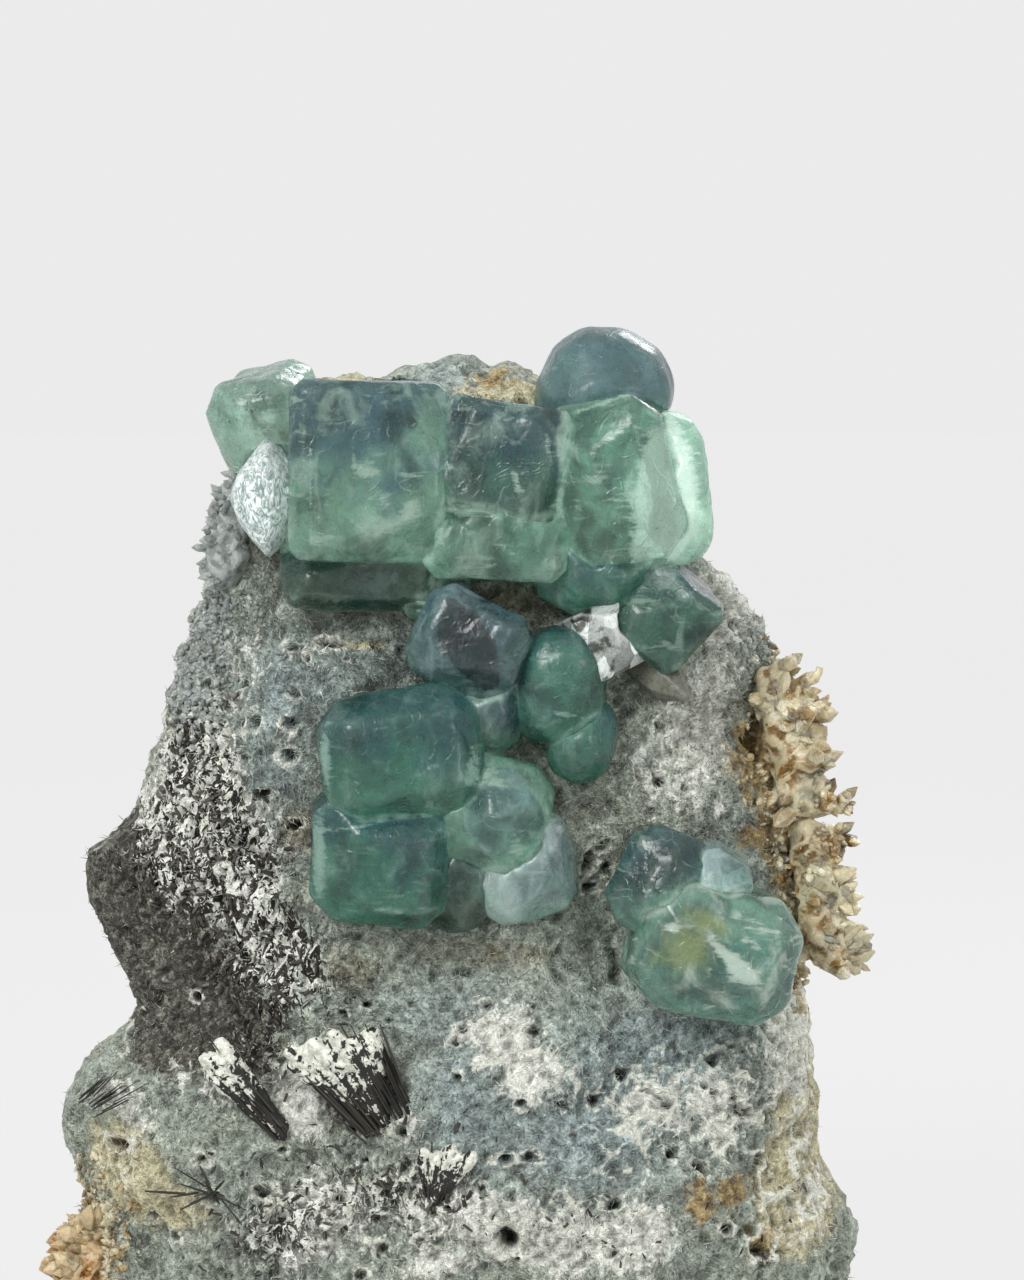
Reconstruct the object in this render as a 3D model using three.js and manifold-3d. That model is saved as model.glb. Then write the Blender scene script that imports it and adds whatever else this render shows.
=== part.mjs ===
// A cabinet specimen of green and blue fluorite on a plate of felted rock.
//
// The plate stands on its broken lower end. Its crystal face looks along -Y, X runs to
// the right of that face and Z runs up it. The origin lies in the flat lower end, where
// the specimen rests. Every crystal, crust and spray of needles is a body of its own,
// seated in the rock with a narrow seam around it. All sizes are in millimetres.

import * as THREE from 'three';
import Module from 'manifold-3d';
import { ConvexGeometry } from 'three/addons/geometries/ConvexGeometry.js';
import { mergeVertices } from 'three/addons/utils/BufferGeometryUtils.js';

const wasm = await Module();
wasm.setup();

// ---------------------------------------------------------------------------
// Driving dimensions
// ---------------------------------------------------------------------------

const SEAM = 0.3; // clear gap between two neighbouring bodies
const FLATNESS = 0.07; // how far a face may move when small facets are joined
const ROCK_TOP = 83.2; // height of the highest splinter of the crest
const RING_STEP = 2.6; // height between two rings of the rock's loft
const RING_POINTS = 48; // points around one ring
const CORNER_POWER = 0.72; // 1 is an ellipse, 0 a rectangle

// Edges and faces of the rock, as [height, place] pairs from the foot to the crest.
const LEFT_EDGE = [
  [0, -30.4], [5, -31.4], [9, -32], [12.2, -30.4], [17, -32.4], [20.2, -32.6],
  [22.6, -31.6], [25, -28.4], [28.2, -26], [32.2, -28.2], [38.2, -31], [41, -30.4],
  [44.6, -26.4], [49, -25.2], [51.4, -23.6], [54.6, -23.6], [58.6, -21.8], [64.2, -20],
  [67, -18.6], [70.2, -17.2], [73.8, -16.2], [78, -14.4], [81.2, -12.4], [82.4, -3],
  [ROCK_TOP, -0.6],
];
const RIGHT_EDGE = [
  [0, 31.6], [5, 32.6], [9, 32.9], [11.4, 32.4], [14.2, 31.2], [16.2, 29.6],
  [19.4, 29.8], [26.6, 29.2], [29.8, 28.6], [35, 29.6], [41.8, 29.4], [50.6, 27.4],
  [57, 26.6], [59.8, 25.2], [63, 23.2], [66.6, 20], [67.8, 17.4], [70.5, 14.5],
  [75.5, 11.5], [80.6, 8.4], [82.2, 4.6], [ROCK_TOP, 1.4],
];
const FRONT_FACE = [
  [0, -15], [9, -16], [18, -15.4], [34, -13], [50, -11], [66, -9.4], [76, -7.6],
  [81, -5.2], [ROCK_TOP, -1.2],
];
const BACK_FACE = [
  [0, 15.5], [12, 18], [24, 17], [45, 15], [66, 11.6], [78, 8.4], [81, 6], [ROCK_TOP, 1.8],
];

// Hollows and humps in the crystal face: centre, half widths, and depth into the rock.
const RELIEF = [
  { x: -4, z: 62.5, wide: 10, high: 4, depth: 1.6 },
  { x: 7, z: 65, wide: 8, high: 3, depth: 1.2 },
  { x: -25, z: 34, wide: 9, high: 15, depth: 5 },
  { x: 12.4, z: 36, wide: 3, high: 6, depth: 2.6 },
  { x: -14.5, z: 44.5, wide: 3, high: 4, depth: 2 },
  { x: 25, z: 52, wide: 3, high: 4, depth: 3 },
  { x: 24.8, z: 33, wide: 4, high: 5, depth: 1.6 },
  { x: 3.5, z: 34, wide: 9, high: 3, depth: 1 },
  { x: -9, z: 20, wide: 8, high: 6, depth: 1.2 },
  { x: 5, z: 26, wide: 6, high: 6, depth: -1.6 },
  { x: 15, z: 12, wide: 8, high: 5, depth: -1.6 },
  { x: -24, z: 17, wide: 7, high: 7, depth: -1.8 },
  { x: 20, z: 24, wide: 7, high: 6, depth: 1.4 },
  { x: -13, z: 57, wide: 7, high: 6, depth: -0.8 },
];

// Finishes, as plain colours, roughness and metalness.
const FINISH = {
  rock: { color: 0x8d9598, roughness: 0.95 },
  blueGreen: { color: 0x56867f, roughness: 0.25 },
  paleGreen: { color: 0x7fae96, roughness: 0.3 },
  mint: { color: 0xa9d3b8, roughness: 0.35 },
  darkGreen: { color: 0x35574f, roughness: 0.3 },
  greyBlue: { color: 0x7f9ea6, roughness: 0.3 },
  frosted: { color: 0xd5e4df, roughness: 0.8 },
  clearQuartz: { color: 0xc9d0cc, roughness: 0.1 },
  smokyQuartz: { color: 0x7d7768, roughness: 0.2 },
  rustyQuartz: { color: 0xa9803f, roughness: 0.5 },
  greyQuartz: { color: 0x8a8b88, roughness: 0.5 },
  blackNeedle: { color: 0x26221e, roughness: 0.45 },
};

// ---------------------------------------------------------------------------
// Solids
// ---------------------------------------------------------------------------

// A closed geometry as a manifold solid.
function solidFrom(geometry) {
  const bare = geometry.clone();
  bare.deleteAttribute('normal');
  bare.deleteAttribute('uv');
  const merged = mergeVertices(bare, 1e-4);
  const mesh = new wasm.Mesh({
    numProp: 3,
    vertProperties: merged.attributes.position.array,
    triVerts: new Uint32Array(merged.index.array),
  });
  return new wasm.Manifold(mesh);
}

// The convex hull of a list of points as a manifold solid.
function hullOf(points) {
  return solidFrom(new ConvexGeometry(points));
}

// The largest separate body of a solid, with its smallest facets joined: chips that a
// cut leaves behind are dropped.
function largestBody(solid) {
  const bodies = solid.simplify(FLATNESS).decompose();
  return bodies.reduce((best, body) => (body.volume() > best.volume() ? body : best));
}

function union(solids) {
  return solids.reduce((whole, solid) => whole.add(solid));
}

// A named mesh of a solid, placed at the middle of its box.
function meshOf(name, solid, finish) {
  const { vertProperties, triVerts } = solid.getMesh();
  const geometry = new THREE.BufferGeometry();
  geometry.setAttribute('position', new THREE.BufferAttribute(vertProperties, 3));
  geometry.setIndex(new THREE.BufferAttribute(triVerts, 1));
  geometry.computeBoundingBox();
  const middle = geometry.boundingBox.getCenter(new THREE.Vector3());
  geometry.translate(-middle.x, -middle.y, -middle.z);
  geometry.computeVertexNormals();
  const mesh = new THREE.Mesh(
    geometry,
    new THREE.MeshStandardMaterial({ ...FINISH[finish], metalness: 0 }),
  );
  mesh.name = name;
  mesh.position.copy(middle);
  return mesh;
}

// A repeatable source of numbers between 0 and 1.
function randomFrom(seed) {
  let state = seed;
  return () => {
    state = (state * 1664525 + 1013904223) % 4294967296;
    return state / 4294967296;
  };
}

// ---------------------------------------------------------------------------
// Rock
// ---------------------------------------------------------------------------

// The place of an edge or face at one height, on straight lines between its points.
function placeAt(edge, height) {
  const after = edge.findIndex(([z]) => z >= height);
  if (after <= 0) return edge[0][1];
  const [lowZ, low] = edge[after - 1];
  const [highZ, high] = edge[after];
  return THREE.MathUtils.mapLinear(height, lowZ, highZ, low, high);
}

// How far the relief pushes the crystal face into the rock at one place.
function reliefAt(x, z) {
  return RELIEF.reduce((sum, { x: cx, z: cz, wide, high, depth }) => {
    const away = ((x - cx) / wide) ** 2 + ((z - cz) / high) ** 2;
    return sum + depth * Math.exp(-away);
  }, 0);
}

// Rough waves over the broken rock, between about -1 and 1.
function roughness(x, y, z) {
  const broad = Math.sin(0.33 * x + 1.9 * Math.sin(0.21 * z + 0.17 * y));
  const middle = Math.sin(0.71 * z - 0.4 * x + 1.3 * Math.sin(0.6 * y));
  const fine = Math.sin(1.37 * x + 1.1 * z + 2.1 * Math.sin(0.9 * x - 0.8 * z));
  return 0.45 * broad + 0.33 * middle + 0.22 * fine;
}

// One point of the ring at one height, where turn runs anticlockwise seen from above.
function rockPoint(turn, height) {
  const left = placeAt(LEFT_EDGE, height);
  const right = placeAt(RIGHT_EDGE, height);
  const front = placeAt(FRONT_FACE, height);
  const back = placeAt(BACK_FACE, height);
  const halfX = (right - left) / 2;
  const halfY = (back - front) / 2;
  const midX = (right + left) / 2;
  const midY = (back + front) / 2;
  const across = Math.sign(Math.cos(turn)) * Math.abs(Math.cos(turn)) ** CORNER_POWER;
  const through = Math.sign(Math.sin(turn)) * Math.abs(Math.sin(turn)) ** CORNER_POWER;
  const x = midX + halfX * across;
  const y = midY + halfY * through;
  const facing = Math.max(0, -through);
  const wave = roughness(x, y, height);
  const push = facing * reliefAt(x, height);
  return new THREE.Vector3(
    midX + halfX * across * (1 + 0.012 * wave),
    midY + halfY * through * (1 + 0.09 * wave) + push,
    height,
  );
}

// The plate of rock as a loft of rings, closed by a flat foot and a ragged crest.
function rockSolid() {
  const heights = [];
  for (let z = 0; z < ROCK_TOP - 3.5; z += RING_STEP) heights.push(z);
  heights.push(ROCK_TOP - 2.6, ROCK_TOP - 1.6, ROCK_TOP - 0.8, ROCK_TOP);
  const positions = [];
  const indices = [];
  heights.forEach((height) => {
    for (let i = 0; i < RING_POINTS; i += 1) {
      const point = rockPoint((2 * Math.PI * i) / RING_POINTS, height);
      positions.push(point.x, point.y, point.z);
    }
  });
  for (let row = 0; row + 1 < heights.length; row += 1) {
    for (let i = 0; i < RING_POINTS; i += 1) {
      const next = (i + 1) % RING_POINTS;
      const a = row * RING_POINTS + i;
      const b = row * RING_POINTS + next;
      const c = a + RING_POINTS;
      const d = b + RING_POINTS;
      indices.push(a, b, d, a, d, c);
    }
  }
  const foot = positions.length / 3;
  positions.push(0, 0, 0);
  const crest = foot + 1;
  positions.push(0.4, 0.3, ROCK_TOP);
  const topRow = (heights.length - 1) * RING_POINTS;
  for (let i = 0; i < RING_POINTS; i += 1) {
    const next = (i + 1) % RING_POINTS;
    indices.push(foot, next, i);
    indices.push(crest, topRow + i, topRow + next);
  }
  const geometry = new THREE.BufferGeometry();
  geometry.setAttribute('position', new THREE.Float32BufferAttribute(positions, 3));
  geometry.setIndex(indices);
  return solidFrom(geometry);
}

// ---------------------------------------------------------------------------
// Fluorite crystals
// ---------------------------------------------------------------------------

// Each crystal: x and z are its lowest and highest places across the face, y its front
// and back, cut the chamfer on its edges, and turn its rotation in degrees about X, Y
// and Z. A crystal with round set is a worn, rounded cube instead: 1 is an ellipsoid.
// An earlier crystal in the list keeps its full shape, and a later one grew against it.
const FLUORITES = [
  { name: 'fluorite_big_cube', x: [-12.9, -1.5], y: [-15.5, -3.5], z: [66.9, 80],
    cut: 0.9, turn: [-4, 1, 4], finish: 'blueGreen' },
  { name: 'fluorite_frosted_end', x: [-16.6, -12.2], y: [-13.6, -6], z: [67.2, 75.8],
    round: 0.8, turn: [0, 0, -32], finish: 'frosted' },
  { name: 'fluorite_second_cube', x: [-1, 8.8], y: [-14.6, -4], z: [69.8, 78.2],
    cut: 1, turn: [-6, 11, -3], finish: 'blueGreen' },
  { name: 'fluorite_corner', x: [-18.2, -12.2], y: [-10.8, -2.5], z: [74.4, 80.8],
    cut: 1.1, turn: [8, -17, -14], finish: 'paleGreen' },
  { name: 'fluorite_right_block', x: [8.6, 17.6], y: [-15.6, -3.6], z: [66.8, 78.6],
    cut: 1.8, turn: [-5, -12, -8], finish: 'paleGreen' },
  { name: 'fluorite_dome', x: [6.9, 17], y: [-12.4, -1], z: [73.6, 84.4],
    round: 0.86, turn: [0, 16, 0], finish: 'greyBlue' },
  { name: 'fluorite_right_lobe', x: [14.4, 19.5], y: [-13.6, -4.6], z: [66.6, 77.4],
    round: 0.62, turn: [0, -4, 12], finish: 'mint' },
  { name: 'fluorite_underside', x: [-13.6, -1.2], y: [-12.6, -4.6], z: [63.6, 68.2],
    cut: 1, turn: [10, 1, 3], finish: 'darkGreen' },
  { name: 'fluorite_lower_cube', x: [-1.8, 8.2], y: [-15, -5], z: [65.4, 71.4],
    cut: 0.9, turn: [-3, 3, 2], finish: 'paleGreen' },
  { name: 'fluorite_lower_right', x: [7.4, 14.6], y: [-13.8, -5], z: [62.6, 69.6],
    cut: 1.3, turn: [2, 28, 0], finish: 'blueGreen' },
  { name: 'fluorite_small_dark', x: [-3.4, 0.2], y: [-12.2, -7], z: [61.8, 65.6],
    cut: 0.7, turn: [0, 20, 0], finish: 'darkGreen' },
  { name: 'fluorite_spur', x: [13.7, 19.5], y: [-15, -8], z: [59.2, 65.4],
    cut: 0.6, turn: [6, 40, 10], finish: 'blueGreen' },
  { name: 'fluorite_veined_cube', x: [-2.6, 5.2], y: [-15.6, -8], z: [56, 62.8],
    cut: 1.2, turn: [-8, 27, -6], finish: 'blueGreen' },
  { name: 'fluorite_blue_foot', x: [0.2, 4.9], y: [-14.6, -8.8], z: [51.6, 57],
    cut: 1.3, turn: [0, 12, 0], finish: 'blueGreen' },
  { name: 'fluorite_oval_upper', x: [5.4, 11.6], y: [-15.2, -8.6], z: [52, 60.6],
    round: 0.7, turn: [0, 6, 0], finish: 'paleGreen' },
  { name: 'fluorite_oval_lower', x: [8, 12.4], y: [-14.6, -9], z: [49, 54.8],
    round: 0.8, turn: [0, 12, 0], finish: 'blueGreen' },
  { name: 'fluorite_left_upper', x: [-10.1, 1.4], y: [-18.2, -8.4], z: [46.2, 55.4],
    cut: 1.9, turn: [-6, -9, 5], finish: 'blueGreen' },
  { name: 'fluorite_left_lower', x: [-11, -1.4], y: [-17.8, -8.6], z: [38.4, 47.4],
    cut: 1.6, turn: [5, 4, 3], finish: 'blueGreen' },
  { name: 'fluorite_middle_inset', x: [1.4, 5.8], y: [-17.4, -11], z: [44, 48.8],
    round: 0.72, turn: [0, -20, 0], finish: 'greyBlue' },
  { name: 'fluorite_middle', x: [-1.2, 7], y: [-16.6, -8.8], z: [42.2, 50.2],
    cut: 1.6, turn: [-2, 14, -4], finish: 'paleGreen' },
  { name: 'fluorite_pale_lobe', x: [1.6, 9.2], y: [-16, -9], z: [37.9, 45.8],
    round: 0.7, turn: [0, -14, 0], finish: 'greyBlue' },
  { name: 'fluorite_wedge', x: [-2.2, 2.4], y: [-15.4, -9.6], z: [37.4, 43],
    cut: 1.1, turn: [0, 30, 0], finish: 'darkGreen' },
  { name: 'fluorite_pair_main', x: [14.7, 26.8], y: [-20, -9.4], z: [30.6, 40.2],
    cut: 2.3, turn: [-4, 13, 4], finish: 'blueGreen' },
  { name: 'fluorite_pair_cap', x: [13.7, 19.6], y: [-18.6, -10], z: [37.2, 44.4],
    cut: 1.5, turn: [-6, 24, -8], finish: 'blueGreen' },
  { name: 'fluorite_pair_side', x: [18.9, 22.8], y: [-17.8, -10.6], z: [38.4, 43],
    cut: 0.9, turn: [0, 33, 0], finish: 'greyBlue' },
];

const CHAMFER_SIGNS = [-1, 1];
const ROUND_COLUMNS = 12;
const ROUND_ROWS = 8;

// Corners of a chamfered box about the origin: three beside each corner of the box.
function chamferedCorners(half, cut) {
  const corners = [];
  for (const sx of CHAMFER_SIGNS) {
    for (const sy of CHAMFER_SIGNS) {
      for (const sz of CHAMFER_SIGNS) {
        const inner = half.clone().subScalar(cut);
        corners.push(new THREE.Vector3(sx * half.x, sy * inner.y, sz * inner.z));
        corners.push(new THREE.Vector3(sx * inner.x, sy * half.y, sz * inner.z));
        corners.push(new THREE.Vector3(sx * inner.x, sy * inner.y, sz * half.z));
      }
    }
  }
  return corners;
}

// Points of a rounded box about the origin: a sphere whose directions are squared up.
function roundedPoints(half, power) {
  const sphere = new THREE.SphereGeometry(1, ROUND_COLUMNS, ROUND_ROWS);
  const place = sphere.getAttribute('position');
  const points = [];
  for (let i = 0; i < place.count; i += 1) {
    const point = new THREE.Vector3().fromBufferAttribute(place, i);
    const [x, y, z] = point.toArray().map((v) => Math.sign(v) * Math.abs(v) ** power);
    points.push(new THREE.Vector3(x, y, z).multiply(half));
  }
  return points;
}

// One crystal as a solid, its faces moved outwards by grow.
function crystalSolid({ x, y, z, cut, round, turn }, grow) {
  const low = new THREE.Vector3(x[0], y[0], z[0]);
  const high = new THREE.Vector3(x[1], y[1], z[1]);
  const middle = low.clone().add(high).multiplyScalar(0.5);
  const half = high.clone().sub(low).multiplyScalar(0.5).addScalar(grow);
  const points = round ? roundedPoints(half, round) : chamferedCorners(half, cut);
  const angles = turn.map(THREE.MathUtils.degToRad);
  const rotation = new THREE.Euler(...angles, 'XYZ');
  return hullOf(points.map((point) => point.applyEuler(rotation).add(middle)));
}

// ---------------------------------------------------------------------------
// Quartz points, crusts and needles
// ---------------------------------------------------------------------------

// A tapered rod from one place to another with a given number of sides. Its shoulder
// is the share of its length where the pointed tip begins.
function pointedRod({ from, to, radius, sides, shoulder, tip }, grow) {
  const start = new THREE.Vector3(...from);
  const along = new THREE.Vector3(...to).sub(start);
  const length = along.length() + grow;
  const aim = new THREE.Quaternion().setFromUnitVectors(
    new THREE.Vector3(0, 0, 1),
    along.clone().normalize(),
  );
  const rings = [
    [-grow, radius + grow],
    [length * shoulder, radius + grow],
    [length, radius * tip + grow],
  ];
  const points = [];
  rings.forEach(([height, ringRadius]) => {
    for (let i = 0; i < sides; i += 1) {
      const angle = (2 * Math.PI * i) / sides;
      const point = new THREE.Vector3(
        ringRadius * Math.cos(angle),
        ringRadius * Math.sin(angle),
        height,
      );
      points.push(point.applyQuaternion(aim).add(start));
    }
  });
  return hullOf(points);
}

// Free standing quartz: a bright rhomb and a smoky point beside the blue spur.
const QUARTZ_POINTS = [
  { name: 'clear_quartz_rhomb', finish: 'clearQuartz',
    from: [11.2, -9.5, 59.4], to: [13.4, -14.6, 60.8], radius: 2.9,
    sides: 4, shoulder: 0.72, tip: 0.55 },
  { name: 'smoky_quartz_point', finish: 'smokyQuartz',
    from: [14.6, -9.5, 58.6], to: [18.4, -14, 55.8], radius: 1.5,
    sides: 6, shoulder: 0.6, tip: 0.12 },
];

// A crust of small crystals: a thick line along the rock, with points standing on it.
// Its tips are the outermost ones, and count more stand between them.
const CRUSTS = [
  { name: 'rusty_quartz_upper', finish: 'rustyQuartz', thickness: 1.7, seed: 11,
    spine: [[25.8, -4.6, 55.8], [27, -5.4, 51], [27.6, -5, 46.4]],
    tips: [[27.2, -6, 58.2], [29.9, -5, 57], [30.5, -4, 54.4], [30.2, -5.4, 52.2],
      [29.8, -6, 48], [32.2, -4.6, 45.7]],
    count: 7, reach: 3.2, heading: [0.75, -0.6, 0.2], radius: 1.05, sides: 5 },
  { name: 'rusty_quartz_lower', finish: 'rustyQuartz', thickness: 1.6, seed: 23,
    spine: [[28.8, -5.2, 43], [29.6, -5.8, 38.4], [30.2, -6.2, 34]],
    tips: [[32, -4.8, 43.1], [32, -5.6, 39.9], [32.3, -5.4, 37.2], [33.2, -6, 34.6],
      [33, -6.4, 32.4]],
    count: 6, reach: 2.8, heading: [0.75, -0.6, 0.1], radius: 0.95, sides: 5 },
  { name: 'grey_quartz_left', finish: 'greyQuartz', thickness: 1.5, seed: 37,
    spine: [[-16.6, -5.4, 72.6], [-18, -5.8, 69], [-18.8, -5.6, 65.2]],
    tips: [[-17.2, -6.4, 74.4], [-19, -6, 72], [-20.6, -6, 69.4], [-20.9, -5.4, 66.8],
      [-20.6, -6.4, 64.2]],
    count: 6, reach: 2, heading: [-0.7, -0.6, 0.3], radius: 0.9, sides: 5 },
  { name: 'rusty_quartz_foot', finish: 'rustyQuartz', thickness: 1.8, seed: 41,
    spine: [[-29.8, -6.4, 10.4], [-30.4, -7, 7], [-30.2, -7.2, 3.6]],
    tips: [[-31.6, -7.2, 11.8], [-32.8, -6.8, 8.8], [-32.8, -7.4, 5.4]],
    count: 6, reach: 2.4, heading: [-0.7, -0.6, 0.1], radius: 0.9, sides: 5 },
];

// A round-ended bar between two places, as the hull of two small balls.
function roundBar(from, to, radius) {
  const ball = new THREE.IcosahedronGeometry(radius, 0).getAttribute('position');
  const points = [];
  for (const end of [from, to]) {
    for (let i = 0; i < ball.count; i += 1) {
      const point = new THREE.Vector3().fromBufferAttribute(ball, i);
      points.push(point.add(new THREE.Vector3(...end)));
    }
  }
  return hullOf(points);
}

// A place on a line of points, where share runs from 0 at its start to 1 at its end.
function alongSpine(spine, share) {
  const reach = share * (spine.length - 1);
  const leg = Math.min(Math.floor(reach), spine.length - 2);
  const start = new THREE.Vector3(...spine[leg]);
  return start.lerp(new THREE.Vector3(...spine[leg + 1]), reach - leg).toArray();
}

// All the crystal points of a crust, as rods.
function crustPoints({ spine, tips, count, reach, heading, radius, sides, seed }) {
  const random = randomFrom(seed);
  const spread = () => random() - 0.5;
  const shape = { sides, shoulder: 0.5, tip: 0.15 };
  const outer = tips.map((to, index) => {
    const from = alongSpine(spine, index / (tips.length - 1));
    return { from, to, radius: radius * (0.85 + 0.3 * random()), ...shape };
  });
  const between = Array.from({ length: count }, (_, index) => {
    const from = alongSpine(spine, (index + 0.5) / count);
    const aim = new THREE.Vector3(...heading)
      .add(new THREE.Vector3(spread(), 0.8 * spread(), 1.4 * spread()))
      .setLength(reach * (0.8 + 0.5 * random()));
    const to = new THREE.Vector3(...from).add(aim).toArray();
    return { from, to, radius: radius * (0.6 + 0.4 * random()), ...shape };
  });
  return [...outer, ...between];
}

// A whole crust as one solid, its faces moved outwards by grow.
function crustSolid(crust, grow) {
  const { spine, thickness } = crust;
  const bars = spine.slice(1).map((to, i) => roundBar(spine[i], to, thickness + grow));
  const points = crustPoints(crust).map((rod) => pointedRod(rod, grow));
  return union([...bars, ...points]);
}

// Sprays of black needles. Each fans out from its root between its first and last tips.
const SPRAYS = [
  { name: 'needle_fan', root: [-5.6, -13.2, 21], first: [-14.4, -16.4, 27.2],
    last: [-6.9, -16.6, 30], count: 9, radius: 0.42, seed: 3 },
  { name: 'needle_bundle', root: [-13.9, -13.6, 20.4], first: [-20.6, -15.8, 26.2],
    last: [-19, -16.2, 28.2], count: 4, radius: 0.45, seed: 5 },
  { name: 'needle_star', root: [-19.6, -15.4, 16.2], first: [-24.2, -17.6, 19.6],
    last: [-17.2, -17.8, 21], count: 6, radius: 0.34, seed: 7 },
  { name: 'needle_edge', root: [-30, -9.4, 21.8], first: [-27.6, -13, 25.4],
    last: [-25.6, -13.2, 23.8], count: 4, radius: 0.4, seed: 9 },
  { name: 'needle_spray_low', root: [-1.6, -14.8, 15], first: [-2.6, -17.2, 20],
    last: [1.8, -17.2, 19.4], count: 5, radius: 0.34, seed: 13 },
];
const NEEDLE_SIDES = 4;
const NEEDLE_SCATTER = 0.7;

// All the needles of a spray, as rods, with a scatter in length and depth.
function needleRods({ root, first, last, count, radius, seed }) {
  const random = randomFrom(seed);
  return Array.from({ length: count }, (_, index) => {
    const tip = new THREE.Vector3(...first).lerp(
      new THREE.Vector3(...last),
      index / (count - 1),
    );
    const from = new THREE.Vector3(...root);
    const length = 0.78 + 0.24 * random();
    const to = from.clone().lerp(tip, length);
    to.y += NEEDLE_SCATTER * (random() - 0.5);
    return {
      from: root,
      to: to.toArray(),
      radius: radius * (0.8 + 0.4 * random()),
      sides: NEEDLE_SIDES,
      shoulder: 0.8,
      tip: 0.6,
    };
  });
}

function spraySolid(spray, grow) {
  return union(needleRods(spray).map((rod) => pointedRod(rod, grow)));
}

// ---------------------------------------------------------------------------
// Assembly
// ---------------------------------------------------------------------------

const specimen = new THREE.Group();
specimen.name = 'fluorite_specimen';
const crystals = new THREE.Group();
crystals.name = 'crystals';
const taken = []; // grown bodies that a later one keeps clear of

// Adds one inset body, cut clear of every body that was added before it.
function addInset(name, finish, build) {
  const own = taken.reduce((solid, grown) => solid.subtract(grown), build(0));
  crystals.add(meshOf(name, largestBody(own), finish));
  taken.push(build(SEAM));
}

FLUORITES.forEach((spec) => {
  addInset(spec.name, spec.finish, (grow) => crystalSolid(spec, grow));
});
QUARTZ_POINTS.forEach((spec) => {
  addInset(spec.name, spec.finish, (grow) => pointedRod(spec, grow));
});
CRUSTS.forEach((spec) => {
  addInset(spec.name, spec.finish, (grow) => crustSolid(spec, grow));
});
SPRAYS.forEach((spec) => {
  addInset(spec.name, 'blackNeedle', (grow) => spraySolid(spec, grow));
});

const rock = taken.reduce((solid, grown) => solid.subtract(grown), rockSolid());
specimen.add(meshOf('matrix_rock', largestBody(rock), 'rock'));
specimen.add(crystals);

export default specimen;
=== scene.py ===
"""Looks of a fluorite specimen: a felted plate of rock that carries blue and green cubes.

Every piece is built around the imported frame. Shapes are worked out in millimetres and
turned into metres when a piece is finished. The plate, the crystals and the crusts are
reworked copies of their frame nodes; needles, fibres and grains are modelled once and
copied. Nothing here moves the frame.
"""

import logging
import math
from collections.abc import Iterator, Sequence
from contextlib import contextmanager
from dataclasses import dataclass, field
from enum import Enum

import bpy
import numpy as np
from mathutils import Matrix, Vector
from mathutils.bvhtree import BVHTree


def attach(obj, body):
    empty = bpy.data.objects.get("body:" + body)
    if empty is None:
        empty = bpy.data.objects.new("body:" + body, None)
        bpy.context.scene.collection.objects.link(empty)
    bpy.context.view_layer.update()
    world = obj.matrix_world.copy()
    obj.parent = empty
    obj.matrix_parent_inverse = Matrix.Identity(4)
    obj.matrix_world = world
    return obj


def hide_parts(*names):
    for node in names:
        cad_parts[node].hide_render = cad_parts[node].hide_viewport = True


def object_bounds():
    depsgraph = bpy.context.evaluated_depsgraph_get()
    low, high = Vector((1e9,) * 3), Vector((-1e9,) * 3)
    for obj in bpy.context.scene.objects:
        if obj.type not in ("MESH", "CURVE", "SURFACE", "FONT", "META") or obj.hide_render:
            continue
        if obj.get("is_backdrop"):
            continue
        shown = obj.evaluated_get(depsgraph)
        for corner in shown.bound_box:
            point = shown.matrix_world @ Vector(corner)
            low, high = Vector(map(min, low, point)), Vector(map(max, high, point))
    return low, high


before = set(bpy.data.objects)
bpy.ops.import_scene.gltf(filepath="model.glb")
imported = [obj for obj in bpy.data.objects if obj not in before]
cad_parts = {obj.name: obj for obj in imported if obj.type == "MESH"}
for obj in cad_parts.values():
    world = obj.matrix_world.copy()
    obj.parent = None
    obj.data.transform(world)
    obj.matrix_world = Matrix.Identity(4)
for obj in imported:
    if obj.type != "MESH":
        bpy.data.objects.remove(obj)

log = logging.getLogger("specimen")

METRE = 1000.0  # millimetres in a metre
# Turn of every noise pattern, so that its cells follow none of the axes.
TURN = np.array(
    Matrix.Rotation(0.7, 3, "X") @ Matrix.Rotation(0.5, 3, "Y") @ Matrix.Rotation(0.9, 3, "Z")
)
# Large odd numbers and shifts that turn a cell's place into a repeatable random number.
CELL_STIRS = (374761393, 668265263, 1440662683)
SEED_STIR = 987654321
HASH_STEPS = ((13, 1274126177), (16, 668265263))
LOW_BITS = (1 << 31) - 1

Colour = tuple[float, float, float]
Point = tuple[float, float, float]


def tone(code: str) -> Colour:
    """Turn a six-digit display colour into linear light.

    Args:
        code: Red, green and blue as two hexadecimal digits each.

    Returns:
        The colour's three linear channels.
    """
    channels = [int(code[i : i + 2], 16) / 255 for i in (0, 2, 4)]
    return tuple(c / 12.92 if c <= 0.04045 else ((c + 0.055) / 1.055) ** 2.4 for c in channels)


# ----- Noise and shaping on arrays of points -----


def lattice(cells: np.ndarray, seed: int) -> np.ndarray:
    """Give each whole-number cell a repeatable value.

    Args:
        cells: Whole-number cell places, one row each.
        seed: Picks one of many independent patterns.

    Returns:
        One value from -1 to 1 for each cell.
    """
    mixed = sum(cells[..., i].astype(np.int64) * stir for i, stir in enumerate(CELL_STIRS))
    mixed = (mixed + seed * SEED_STIR) & LOW_BITS
    for shift, stir in HASH_STEPS:
        mixed = ((mixed ^ (mixed >> shift)) * stir) & LOW_BITS
    return (mixed ^ (mixed >> 15)) / (LOW_BITS // 2) - 1.0


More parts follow.
